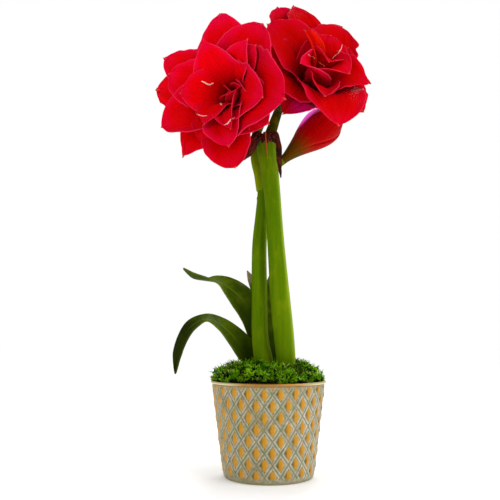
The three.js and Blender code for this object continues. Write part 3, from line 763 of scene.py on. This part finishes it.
scape_paint = stem_paint("scape_skin", (104, 130, 4), (88, 120, 2), (64, 102, 0), 0.5, 0.5)
pedicel_paint = stem_paint("pedicel_skin", (66, 68, 4), (52, 64, 2), (70, 36, 6), 0.4)
young_paint = stem_paint("pedicel_young", (124, 146, 8), (84, 104, 4), (92, 92, 6), 0.3)
scape_front = stem("scape_front_skin", FRONT_SCAPE, front_radius, 120, SCAPE_SIDES)
fit(scape_front, scape_paint, "scape", "scape_front")
scape_rear = stem("scape_rear_skin", REAR_SCAPE, rear_radius, 110, SCAPE_SIDES)
fit(scape_rear, scape_paint, "scape", "scape_rear")
bends = mm(
    (-0.4, -14, 372), (5, -12, 387.6), (9.4, -6, 402.1), (14.2, 6, 416), (24, 22, 428.5), (35.5, 30, 428.5))
fit(pedicel("pedicel_right", bends, RIGHT_BLOOM_BASE, RIGHT_BLOOM_FACES, 0.0049), pedicel_paint, "scape")
bends = mm((-6, 12, 321), (-9, 11, 339), (-13.8, 13, 360), (-13, 20, 388), (-8.5, 21.5, 407))
fit(pedicel("pedicel_left", bends, LEFT_BLOOM_BASE, LEFT_BLOOM_FACES, 0.0053), young_paint, "scape")
before_bud = BUD_BASE - (BUD_TIP - BUD_BASE).normalized() * 0.006
bends = [*mm((-4.5, 12, 321), (1, 12.5, 334)), before_bud, BUD_BASE]
fit(stem("pedicel_bud", bends, lambda share, turn: 0.0044 + 0.0004 * share, 40, 32), young_paint, "scape")

# Leaves: strap blades, channelled along the middle, with parallel veins and a thin pale edge.
# Two arch out to the left, two stand short behind and between the scapes.
LEAF_THICKNESS = 0.0018
LEAVES = {
    # middle line, which way the blade's width lies along it, half its width at its widest and at the
    # root, and the share of its length from which it tapers
    "leaf_upper": (
        mm((-4, 27, 100), (-4, 28, 124), (-8, 29, 150), (-16.5, 29, 178), (-30, 27, 196), (-45, 23, 209),
           (-58, 20, 216), (-71, 17, 217.5), (-85, 15, 221), (-97, 13, 230)),
        [(1, 0, 0), (1, 0, 0.1), (0.95, 0, 0.3), (0.8, 0.1, 0.6), (0.6, 0.4, 0.7), (0.35, 0.75, 0.55),
         (0.1, 0.95, 0.3), (0, 1, 0.02), (-0.1, 0.95, -0.3), (-0.2, 0.9, -0.45)],
        0.016, 0.009, 0.45),
    "leaf_lower": (
        mm((-6, 21, 100), (-9, 20, 112), (-15, 19, 121.5), (-24, 17, 134.5), (-36, 13, 149.5),
           (-52, 9, 164.5), (-69, 6, 172), (-85, 2, 164.5), (-95, -1, 150), (-101, -4, 132),
           (-103, -6, 111)),
        [(1, 0, 0), (1, 0.1, 0.2), (0.9, 0.2, 0.4), (0.7, 0.45, 0.55), (0.5, 0.65, 0.55),
         (0.25, 0.85, 0.4), (0, 0.95, 0.28), (-0.45, 0.8, 0.4), (-0.7, 0.7, 0.25), (-0.8, 0.6, 0.1),
         (-0.85, 0.55, 0)],
        0.0145, 0.009, 0.4),
    "leaf_short": (
        mm((-3, 33, 100), (-4, 35, 130), (-7, 37, 165), (-11, 37, 200), (-23.5, 36, 229)),
        [(1, 0, 0), (1, 0, 0), (0.95, 0, 0.2), (0.95, 0, 0.2), (0.9, 0, 0.3)],
        0.008, 0.007, 0.6),
    "leaf_middle": (
        mm((12, 20, 100), (10, 20, 130), (7, 20, 165), (4, 20, 200), (2, 19, 221)),
        [(1, 0, 0)] * 5,
        0.0072, 0.007, 0.6),
}


def leaf_surface(path, ways, widest, root, tapers_from):
    def surface(u, v):
        middle = through(path, v)
        along = (through(path, min(1, v + 0.004)) - through(path, max(0, v - 0.004))).normalized()
        side = through(ways, v)
        side = (side - along * side.dot(along)).normalized()
        taper = 1 - 0.75 * max(0, (v - tapers_from) / (1 - tapers_from)) ** 1.6
        taper = taper * min(1, max(0.002, (1 - v) / 0.1)) ** 0.6
        half = (root + (widest - root) * min(1, v / 0.35)) * taper
        t = 2 * u - 1
        keel = 0.0005 * bell(t, 0, 0.07)
        wave = 0.0007 * t * t * sin(14 * v + (2 if t > 0 else 0)) * sin(pi * v)
        return middle + side * half * t + along.cross(side) * (0.22 * half * (0.5 - t * t) - keel + wave)
    return surface


def thicken(piece, thickness):
    """Gives a sheet its wall, half to either side."""
    wall = piece.modifiers.new("wall", "SOLIDIFY")
    wall.thickness = thickness
    wall.offset = 0


leaf_paint = Paint("leaf_skin", 0.025, Sheen_Weight=0.03, Sheen_Roughness=0.4, Sheen_Tint=(0.7, 1, 0.1, 1))
leaf_map, across, along = leaf_paint.own_map()
cloud = leaf_paint.noise(70)
leaf_x = leaf_paint.place.part("X")
leaf_z = leaf_paint.place.part("Z")
vein = (across * 150 + leaf_paint.noise((60, 3, 1), 3, leaf_map) * 3).maths("SINE")
from_midrib = (across - 0.5).maths("ABSOLUTE") * 2
midrib = (1 - from_midrib.step(0.02, 0.09)) * along.step(0.35, 0.5) * (1 - along.step(0.62, 0.8))
# Painted shade: the hanging part of the lower leaf is painted nearly black-green, and its pale edge is left
# off.
hanging_leaf_shade = (1 - leaf_z.step(0.164, 0.19)) * (1 - leaf_x.step(-0.09, -0.05))
leaf_green = mix(cloud.step(0.35, 0.65), (58, 80, 2), (92, 112, 2))
leaf_paint.coat(
    0.36 + cloud * 0.2,
    (40, 58, 1),
    (along.step(0.22, 0.62), leaf_green),
    (hanging_leaf_shade * 0.9, (14, 19, 1)),
    (along.step(0.72, 0.86) * 0.5, (30, 38, 4)),
    (vein.step(0.5, 1) * 0.2, (100, 126, 18)),
    (midrib * 0.35, (128, 150, 40)),
    (from_midrib.step(0.95, 0.995) * (1 - hanging_leaf_shade) * 0.25, (130, 146, 60)),
    (leaf_z.step(0.208, 0.222) * leaf_x.step(-0.035, -0.03) * 0.9, (150, 138, 104)),
    Normal=bump(vein * 0.5 + cloud, 0.3, 0.0005),
)
for name, leaf in LEAVES.items():
    leaf_mesh = bmesh.new()
    sheet(leaf_mesh, 24, 110, leaf_surface(*leaf))
    bmesh.ops.recalc_face_normals(leaf_mesh, faces=leaf_mesh.faces[:])
    blade = piece_from(leaf_mesh, name + "_blade")
    thicken(blade, LEAF_THICKNESS)
    fit(blade, leaf_paint, "leaf", name)

# Blooms: double flowers. Each petal is a cupped, waved blade that leaves the flower's tube. The
# tables give its measures in millimetres and degrees, and what sets it apart from PETAL.
MEASURES = (
    "turn",  # round the flower's axis: 0 is right, 90 is up
    "reach",  # of its tip, away from the axis
    "rise",  # of its tip, along the axis
    "width",
    "lean",  # slope of its tip, 0 lying flat
    "cup",  # curl of its edges
    "blunt",  # shape of its tip: 0.4 is round, 0.9 pointed
    "pink",  # of its rim, where 3 makes it magenta and -1 scarlet
)
PETAL = dict(
    peak=0.6,  # where it is widest, from root 0 to tip 1
    tube=14,  # slope of the root away from the axis in degrees
    root=75,  # curl of the edges at the root in degrees
    bend=0,  # how far the tip drifts aside
    fold=0.05,  # how sharply the blade folds along its middle
    roll=(0, 0),  # how far either edge rolls in, or back if negative
    wave=0.08,
    frill=0.06,
    ragged=0.05,  # how far the rim is nibbled
)
PETAL_THICKNESS = 0.0008
BLOOM_SEED = 1  # of the vector noise in petals and bracts, which else differs from run to run
PETAL_COLUMNS = 32
PETAL_ROWS = 52
TUBE_LENGTH = 0.034
LEFT_PETALS = [
    (96, 93, 64, 70, -4, 10, 0.5, 1, dict(peak=0.55, roll=(-0.1, -0.2))),  # top
    (55, 82, 66, 76, -4, 10, 0.5, 0.7, dict(peak=0.6)),  # top right
    (334, 87, 82, 100, -5, 10, 0.6, 0.5, dict(bend=0.01, peak=0.52)),  # right
    (281, 89, 66, 61, -20, 12, 0.4, 0.2, {}),  # bottom
    (230, 83, 62, 62, -12, 14, 0.75, 0.2, dict(ragged=0.1, peak=0.5)),  # lower left
    (166, 106, 52, 50, -20, 12, 0.6, 0.1, dict(ragged=0.14)),  # left, behind
    (146, 106, 60, 54, -5, 12, 0.75, 0.6, dict(ragged=0.1)),  # upper left
    (156, 80, 70, 54, -5, 14, 0.6, 0.7, dict(roll=(0.1, 0.1))),  # upper left, second
    (201, 84, 72, 60, -10, 14, 0.7, 0.5, dict(roll=(0, 0.15))),  # left, low
    (251, 61, 68, 60, -15, 12, 0.6, 0.1, {}),  # low, behind
    (284, 69, 78, 52, -16, 16, 0.55, 0.7, dict(roll=(0.05, 0.15))),  # low
    (322, 77, 72, 68, -14, 12, 0.6, 0.4, dict(roll=(0, 0.05))),  # low right
    (105, 57, 86, 60, 4, 16, 0.85, 0.8, dict(peak=0.5, roll=(0.05, 0.1), fold=0.08)),  # inner upper left
    (180, 46, 82, 54, 0, 16, 0.65, 0.4, {}),  # inner left
    (42, 60, 74, 46, 6, 18, 0.6, 0.7, dict(roll=(0.1, 0.2))),  # inner top right
    (52, 58, 80, 42, 8, 20, 0.75, 0.9, dict(roll=(0.1, 0.25))),  # inner top
    (339, 64, 84, 64, -5, 22, 0.5, 0.6, dict(roll=(0.05, 0.1))),  # inner right
    (255, 42, 84, 46, 0, 18, 0.65, 0.3, {}),  # inner low left
    (294, 57, 86, 36, 0, 26, 0.75, 0.5, dict(roll=(0.1, 0.2))),  # inner low
    (333, 49, 80, 34, 12, 35, 0.75, 0.6, dict(roll=(0.1, 0.3))),  # inner right, small
    (339, 14, 72, 20, 30, 60, 0.75, 0.1, dict(roll=(0.5, 0.5))),  # curled, left
    (352, 30, 80, 22, 40, 60, 0.75, 0.2, dict(roll=(0.5, 0.3))),  # curled, top
]
RIGHT_PETALS = [
    (109, 105, 48, 60, -5, 12, 0.45, 0.5, dict(ragged=0.14)),  # top left
    (98, 101, 52, 48, -20, 10, 0.6, 0.1, dict(ragged=0.14)),  # top
    (62, 78, 60, 60, -10, 12, 0.6, 0.1, dict(ragged=0.15)),  # upper right
    (43, 50, 64, 58, -15, 12, 0.75, 0.1, dict(ragged=0.15)),  # right, high
    (228, 72, 42, 46, -30, 12, 0.75, 3, {}),  # lower left, behind
    (195, 74, 58, 80, -10, 10, 0.5, 0.1, {}),  # left
    (142, 77, 67, 74, 0, 16, 0.5, 0.2, dict(roll=(0, 0.1))),  # left, high
    (308, 66, 58, 58, -16, 12, 0.6, 0.2, dict(ragged=0.13)),  # right, low
    (270, 83, 68, 72, -24, 12, 0.6, 0.2, {}),  # bottom
    (72, 41, 74, 58, 5, 15, 0.6, 0.3, {}),  # upper right, second
    (334, 51, 72, 58, -5, 14, 0.75, 0.2, dict(ragged=0.15)),  # right, middle
    (124, 42, 80, 19, 6, 40, 0.3, -1, dict(roll=(0.5, 0.5), peak=0.7)),  # tongue
    (312, 28, 82, 50, 5, 24, 0.45, 0.3, dict(roll=(0.15, 0.15))),  # inner right
    (249, 13, 84, 42, 10, 26, 0.75, 0.3, dict(roll=(0.15, 0.15))),  # inner top
    (204, 39, 80, 38, 15, 40, 0.5, 0.9, dict(roll=(0.2, 0.2))),  # inner left
    (253, 62, 82, 38, 20, 40, 0.5, 0.3, dict(roll=(0.2, 0.2))),  # inner low
]
noise.seed_set(BLOOM_SEED)


def petal_surface(base, faces, petal, seed):
    """Gives the point of a petal at u from edge to edge and v from root to tip."""
    right = Vector((0, 0, 1)).cross(faces).normalized()
    turn = radians(petal["turn"])
    outward = right * cos(turn) + faces.cross(right) * sin(turn)
    side = faces.cross(outward).normalized()
    start = Vector((0.0025, 0))
    tip = Vector((petal["reach"] / 1000, petal["rise"] / 1000))
    leg = 0.42 * (tip - start).length
    tube = radians(petal["tube"])
    lean = radians(petal["lean"])
    second = start + leg * Vector((sin(tube), cos(tube)))
    third = tip - leg * Vector((cos(lean), sin(lean)))
    power = log(0.5) / log(petal["peak"])
    phase = seed * 1.7

    def surface(u, v):
        t = 2 * u - 1
        a = 1 - v
        spot = start * a ** 3 + second * 3 * a * a * v + third * 3 * a * v * v + tip * v ** 3
        slope = (second - start) * a * a + (third - second) * 2 * a * v + (tip - third) * v * v
        slope.normalize()
        spot += slope * 0.0016 * bell(a, 0, 0.04) * bell(t, 0, 0.4)
        normal = faces * slope.x - outward * slope.y
        swell = sin(pi * min(v, 0.9995) ** power) ** petal["blunt"]
        jag = noise.noise(Vector((v * 15, seed, 3 if t > 0 else 9)))
        half = 0.5 * petal["width"] / 1000 * (0.22 * a + 0.008 + swell)
        half *= 1 + 1.2 * petal["ragged"] * jag * abs(t) ** 3
        curl = radians(petal["root"] * a ** 2 + petal["cup"] * (1 - a ** 2))
        calm = sqrt(max(0, sin(pi * v)))
        wave = petal["wave"] * half * t * t * sin(4 * pi * v + (2.1 if t > 0 else 0) + 0.4 * phase)
        frill = petal["frill"] * half * t ** 4 * sin(21 * v + phase + (1.3 if t > 0 else 0))
        frill += petal["frill"] * 0.3 * half * v ** 6 * sin(9 * t + phase)
        rolled = half * petal["roll"][t > 0] * (max(0, abs(t) - 0.5) / 0.5) ** 2 * calm
        folded = petal["fold"] * half * abs(t) * calm
        groove = 0.0009 * bell(t, 0, 0.05) * (1 - v ** 3)
        ribs = 0.00016 * cos(13 * pi * t) * calm
        lift = half / curl * (1 - cos(curl * t)) + (wave + frill) * calm + rolled + folded - groove + ribs
        place = base + outward * spot.x + faces * spot.y + side * petal["bend"] * v * v
        place += side * (half / curl * sin(curl * t)) + normal * lift
        soft = noise.noise(Vector((t * 1.7 + seed, v * 1.6, seed * 0.7))) * 0.0045
        pleat = sin(11 * t + phase + 2.5 * sin(2.2 * v + phase)) * 0.0007
        place += normal * (soft + pleat) * calm * v
        tear = noise.noise(Vector((t * 5 + seed, seed, 1))) * v ** 8
        place += (outward * slope.x + faces * slope.y) * tear * petal["ragged"] * 0.05
        dents = noise.noise_vector(place * 48 + Vector((seed, 0, 0))) * 0.0018 * v
        pucker = noise.noise(Vector((u * 14, v * 5, seed))) * 0.0007 * calm
        return place + dents + normal * pucker

    return surface


def bloom(name, base, faces, rows, seed, glow, lit_from):
    """All petals of one flower as one mesh. Those towards lit_from are painted lighter, the more with glow.
    """
    mesh = bmesh.new()
    shade_layer = mesh.verts.layers.float.new("shade")
    pink_layer = mesh.verts.layers.float.new("pink")
    draw = random.Random(seed)
    for number, (*measures, others) in enumerate(rows):
        petal = {**PETAL, **dict(zip(MEASURES, measures)), **others}
        made = sheet(mesh, PETAL_COLUMNS, PETAL_ROWS, petal_surface(base, faces, petal, seed + number))
        shade = 0.5 + 0.4 * cos(radians(petal["turn"] - lit_from)) + 0.15 * draw.random()
        for corner in made:
            corner[shade_layer] = shade * glow
            corner[pink_layer] = petal["pink"]
    tree = BVHTree.FromBMesh(mesh)
    return piece_from(mesh, name), tree


petal_paint = Paint(
    "petal_velvet", 0.018, Specular_Tint=(1, 0.3, 0.35, 1),
    Sheen_Weight=0.1, Sheen_Roughness=0.35, Sheen_Tint=(1, 0.05, 0.2, 1))
petal_map, across, along = petal_paint.own_map()
shade = petal_paint.attribute("shade")
pink = petal_paint.attribute("pink")
streak = petal_paint.noise((46, 3.5, 1), 4, petal_map)
petal_vein = (across * 190 + petal_paint.noise((9, 3, 1), 3, petal_map) * 9).maths("SINE")
cloud = petal_paint.noise(45)
edge = (across - 0.5).maths("ABSOLUTE") * 2
rim_pink_and_highlight = edge.step(0.55, 1) * along.step(0.25, 0.6)
near_tip = along.step(0.84, 1)
painted_rim_highlight = edge.step(0.955, 0.99) * along.step(0.35, 0.7)
pale_nib = along.step(0.986, 0.996) * (1 - edge.step(0.3, 0.7))
# Scarlet on the tongue petal, the petal's own colour, strongest at its edges as a painted highlight.
scarlet = (pink * -1).maths("MAXIMUM", 0) * (edge.step(0.5, 0.9) * 0.8 + 0.2)
to_right = petal_paint.place.part("X").step(0.018, 0.042)
magenta = mix(
    along.step(0.66, 0.76), (44, 56, 4), mix(to_right, (184, 2, 22), (232, 16, 136)))
petal_paint.coat(
    0.42 + cloud * 0.15,
    (188, 0, 0),
    # Painted light: petals towards the lamps are lighter, by the shade of each.
    (shade, (244, 0, 6)),
    (pink.step(0, 1) * 0.4, (236, 0, 26)),
    (cloud.step(0.35, 0.7) * 0.25, (240, 0, 8)),
    (streak.step(0.42, 0.7) * 0.3, (176, 0, 0)),
    # Painted shade: darker towards the root of each petal.
    ((1 - along.step(0.3, 0.8)) * 0.5, (150, 0, 0)),
    (petal_vein.step(0.2, 1) * 0.07, (170, 0, 2)),
    # Pink towards rims and tips, partly their own colour and partly a painted highlight; the thin pale line
    # at the very rim is a painted highlight where the edge catches the light.
    (rim_pink_and_highlight.maths("MAXIMUM", near_tip) * (0.08 + pink * 0.42), (248, 14, 84)),
    (painted_rim_highlight * (0.15 + pink * 0.45), (248, 66, 104)),
    (pale_nib * 0.4, (255, 130, 100)),
    (pink.step(1.5, 2.5), magenta),
    (scarlet, (240, 30, 10)),
    # Painted shade: nearly black-red deep in the throat.
    (1 - along.step(0.15, 0.55), (96, 0, 0)),
    Normal=bump(petal_vein * 0.3 + streak + cloud, 0.35, 0.0008),
)
tube_paint = stem_paint("bloom_tube", (70, 84, 2), (140, 16, 4), (90, 60, 2), 0.3)

# Stamens that turned to half petals in the double flower leave pale filaments lying on the petals.
# Each is given where it is seen in the view, in pixels of a picture of 500 by 500, and lies on the
# petal that carries it there.
VIEW_PIXELS = 500
FILAMENTS = {
    # points along each, its thickness and how pale it is
    "left": [
        ([(201.5, 81.2), (204.5, 82.4), (207.5, 84.2), (210.5, 84.6), (213.5, 83)], 0.0008, 1),
        ([(195.5, 113), (198.5, 114.8), (202.5, 116), (207, 115.6)], 0.0005, 0.7),
        ([(223.5, 125.2), (227.5, 123.6), (231, 119.5), (235, 117.2)], 0.0006, 0.8),
        ([(220.4, 103.6), (221.6, 104.8)], 0.0011, 0.6),
    ],
    "right": [
        ([(308.3, 54.2), (310.4, 56.4), (313, 57), (314.8, 58.6)], 0.0006, 0.6),
        ([(331, 60), (334.2, 56.4), (338.2, 53.2), (341, 49), (342.2, 44.6)], 0.0006, 0.6),
        ([(318, 61.5), (321.5, 64), (325, 66.5)], 0.0005, 0.3),
    ],
}
view_turn = Matrix.Rotation(CAMERA_TILT, 3, "X")
view_scale = SENSOR_WIDTH / LENS / VIEW_PIXELS


def filament(mesh, tree, pixels, girth):
    """A tapered thread laid on the petals behind the given pixels. Returns its vertices."""
    path = []
    halfway = [tuple((a + b) / 2 for a, b in zip(*pair)) for pair in zip(pixels, pixels[1:])]
    for x, y in sorted(pixels + halfway):
        aside = (x - VIEW_PIXELS / 2) * view_scale
        upwards = (VIEW_PIXELS / 2 - y) * view_scale
        ray = view_turn @ Vector((aside, upwards, -1)).normalized()
        hit = tree.ray_cast(Vector(CAMERA_PLACE), ray)[0]
        if hit:
            path.append(hit - ray * (girth * 0.7 + PETAL_THICKNESS))
    known = len(mesh.verts)
    if len(path) > 1:
        stalk(mesh, path, lambda share, turn: girth * (0.5 + 0.5 * sin(pi * (0.1 + 0.75 * share))), 20, 8)
    mesh.verts.ensure_lookup_table()
    return mesh.verts[known:]


thread_paint = Paint("filament", 0.3)
thread_paint.coat(
    0.5,
    (240, 60, 50),
    (thread_paint.attribute("pale"), (255, 226, 206)),
    (thread_paint.noise(700) * 0.3, (244, 120, 96)),
)

# glow sets how much painted light each flower gets; the right one is painted darker.
for side, base, faces, rows, seed, glow, lit_from in (
    ("left", LEFT_BLOOM_BASE, LEFT_BLOOM_FACES, LEFT_PETALS, 3, 1, 125),
    ("right", RIGHT_BLOOM_BASE, RIGHT_BLOOM_FACES, RIGHT_PETALS, 40, 0.35, -40),
):
    flower, tree = bloom("petals_" + side, base, faces, rows, seed, glow, lit_from)
    thicken(flower, PETAL_THICKNESS)
    fit(flower, petal_paint, "petal", "bloom_" + side)
    # the green foot of the flower, where its petals are grown together
    tube = [base + faces * share * TUBE_LENGTH for share in (0, 0.5, 1)]
    foot = stem("tube_" + side, tube, lambda share, turn: 0.0046 + 0.0052 * share ** 1.3, 20, PEDICEL_SIDES)
    fit(foot, tube_paint, "petal")
    threads = bmesh.new()
    pale_layer = threads.verts.layers.float.new("pale")
    for pixels, girth, pale in FILAMENTS[side]:
        for corner in filament(threads, tree, pixels, girth):
            corner[pale_layer] = pale
    fit(piece_from(threads, "filaments_" + side), thread_paint, "petal")

# Bud: six petals still wrapped round each other, green at the foot and crimson above. The outer
# three overlap the inner three, and each overlap shows as a low step.
BUD_RADIUS = 0.0215
OVERLAPS = 3
OVERLAP_TWIST = 0.9

bud_axis = (BUD_TIP - BUD_BASE).normalized()
bud_length = (BUD_TIP - BUD_BASE).length
bud_right = bud_axis.cross(Vector((0, 0, 1))).normalized()
bud_up = bud_right.cross(bud_axis)


def bud_surface(u, v):
    turn = 2 * pi * u
    girth = 0.2 * (1 - v) + 0.98 * sin(pi * min(v, 0.9999) ** 1.6) ** 0.92 + 0.03 * (1 - v ** 8)
    wrap = (OVERLAPS * u + OVERLAP_TWIST * v) % 1
    step_edge = wrap ** 3 if wrap < 0.96 else (1 - wrap) / 0.04 * 0.885
    crease = 0.02 * cos(6 * turn + 5 * v)
    radius = BUD_RADIUS * girth * (0.95 + 0.07 * step_edge + crease * sin(pi * v))
    place = BUD_BASE + bud_axis * (v * bud_length + 0.00035)
    return place + (bud_right * cos(turn) + bud_up * sin(turn)) * radius


bud_mesh = bmesh.new()
sheet(bud_mesh, 144, 90, bud_surface)
bmesh.ops.remove_doubles(bud_mesh, verts=bud_mesh.verts[:], dist=1e-6)
close(bud_mesh)
bud_paint = Paint(
    "bud_petals", 0.03, Specular_Tint=(1, 0.3, 0.4, 1), Sheen_Weight=0.03, Sheen_Roughness=0.3,
    Sheen_Tint=(1, 0.05, 0.3, 1), Emission_Strength=1)
bud_map, across, along = bud_paint.own_map()
from_base = bud_paint.node("VectorMath", {0: bud_paint.place, 1: tuple(BUD_BASE)}, operation="SUBTRACT")


def bud_towards(direction):
    """How far a point of the bud lies from its axis in a direction across it."""
    inputs = {0: from_base, 1: tuple(direction.normalized())}
    return bud_paint.node("VectorMath", inputs, "Value", operation="DOT_PRODUCT")


upper_side = bud_towards(bud_axis.cross(Vector((0, 1, 0))))
behind = bud_towards(Vector((0, 1, 0)) - bud_axis * bud_axis.y)
wobble = bud_paint.noise((30, 2.5, 1), 4, bud_map)
streak = bud_paint.noise((90, 2, 1), 3, bud_map)
vein = (across * 300 + wobble * 8).maths("SINE")
wrap = (across * OVERLAPS + along * OVERLAP_TWIST).maths("FRACT")
# Painted highlight: a magenta band along the bud's upper front edge, brightest at the rim.
magenta_highlight_rim = upper_side.step(0.0135, 0.0192) * (1 - behind.step(0.004, 0.012))
bud_red = layers(
    (126, 0, 0),
    (wobble, (212, 0, 4)),
    (vein.step(0.2, 1) * 0.3, (96, 0, 2)),
    (wrap.step(0.955, 0.985) * 0.5, (96, 0, 0)),
    (streak.step(0.5, 0.66) * 0.4, (110, 0, 0)),
    (wrap.step(0.02, 0.05) * (1 - wrap.step(0.05, 0.1)) * 0.4, (224, 40, 40)),
    # the wider, deeper part of the painted highlight on the upper side
    (upper_side.step(0.004, 0.016) * 0.7, (214, 0, 60)),
    (magenta_highlight_rim, (255, 70, 190)))
bud_foot = mix(streak.step(0.36, 0.56), (132, 52, 6), (52, 68, 2))
bud_paint.coat(
    0.42 + wobble * 0.1,
    mix((along + (streak - 0.5) * 0.5).step(0.15, 0.42), bud_foot, bud_red),
    # The painted highlight also glows, by emission, above the bud's foot.
    Emission_Color=mix(magenta_highlight_rim * along.step(0.35, 0.5), (0, 0, 0), (190, 70, 172)),
    Normal=bump(vein * 0.4 + wobble, 0.35, 0.0006),
)
fit(piece_from(bud_mesh, "bud_petals"), bud_paint, "bud", "bud")

# Spathe: two withered bracts that once wrapped the buds, hanging from a papery ring round the top
# of the front scape, and a thin bractlet between them.
BRACT_THICKNESS = 0.0008
RING_MIDDLE = smooth_path(FRONT_SCAPE, 200)[197]
RING_RADIUS = 0.0119
RIGHT_BRACT = mm(
    (7.5, -22.5, 381.5), (10.2, -22.5, 376), (12.2, -21.5, 363.1), (13, -19.5, 346.2), (14.4, -18.5, 329.6))
LEFT_BRACT = mm(
    (-10, -23.5, 381.5), (-14.5, -27, 373), (-19.2, -28.5, 362), (-25, -27.5, 352), (-33, -25, 346.5))
BRACTLET = mm((-3, -26.8, 380), (-2.2, -27.2, 367.2), (-0.8, -26.2, 350))
BRACT_ROWS = 60


def bract(mesh, path, side, half):
    spine = smooth_path(path, BRACT_ROWS)
    side = Vector(side)

    def surface(u, v):
        t = 2 * u - 1
        reach = half * (0.4 * (1 - v) + 0.04 + sin(pi * min(v * 0.88 + 0.12, 0.9999)) ** 0.8)
        crumple = noise.noise_vector(Vector((u * 5, v * 7, half * 900))) * 0.0009
        place = spine[round(v * BRACT_ROWS)] + side * reach * t
        return place + Vector((0, reach * 0.5 * abs(t) ** 1.5, 0)) + crumple

    sheet(mesh, 12, BRACT_ROWS, surface)


def ring_surface(u, v):
    turn = 2 * pi * u
    crumple = noise.noise(polar(3, turn, v * 2))
    pleat = noise.noise(polar(9, turn, v * 1.5))
    ragged = noise.noise(polar(6, turn, 5 if v > 0.5 else 9))
    radius = RING_RADIUS + 0.0011 * sin(pi * v) + 0.0006 * crumple + 0.0006 * pleat
    tall = 0.01 * (v - 0.5) + 0.0045 * ragged * (2 * v - 1) ** 2
    return RING_MIDDLE + polar(radius, turn, tall + 0.0012 * crumple)


spathe_mesh = bmesh.new()
bract(spathe_mesh, RIGHT_BRACT, (0.9, 0.2, 0.2), 0.0027)
bract(spathe_mesh, LEFT_BRACT, (0.82, -0.2, -0.5), 0.0046)
sheet(spathe_mesh, 72, 12, ring_surface)
bmesh.ops.remove_doubles(spathe_mesh, verts=spathe_mesh.verts[:], dist=1e-7)
spathe = piece_from(spathe_mesh, "spathe_bracts")
thicken(spathe, BRACT_THICKNESS)
bractlet = stem("spathe_bractlet", BRACTLET, lambda share, turn: 0.0008 - 0.0004 * share, 24, 10)

spathe_paint = Paint("withered_bract", 0.12)
streak = spathe_paint.noise((520, 520, 60), 5)
spathe_paint.coat(
    0.6 + streak * 0.2,
    (28, 2, 8),
    (spathe_paint.noise(120).step(0.4, 0.6), (76, 22, 8)),
    (spathe_paint.noise(420).step(0.55, 0.7) * 0.7, (150, 70, 30)),
    (streak.step(0.5, 0.75) * 0.5, (20, 2, 6)),
    Normal=bump(streak, 0.6, 0.0008),
)
fit(spathe, spathe_paint, "spathe", "spathe")
bractlet_paint = Paint("bractlet", 0.3)
cloud = bractlet_paint.noise(300)
bractlet_paint.coat(0.5 + cloud * 0.2, mix(cloud, (196, 60, 40), (150, 90, 30)))
fit(bractlet, bractlet_paint, "spathe")
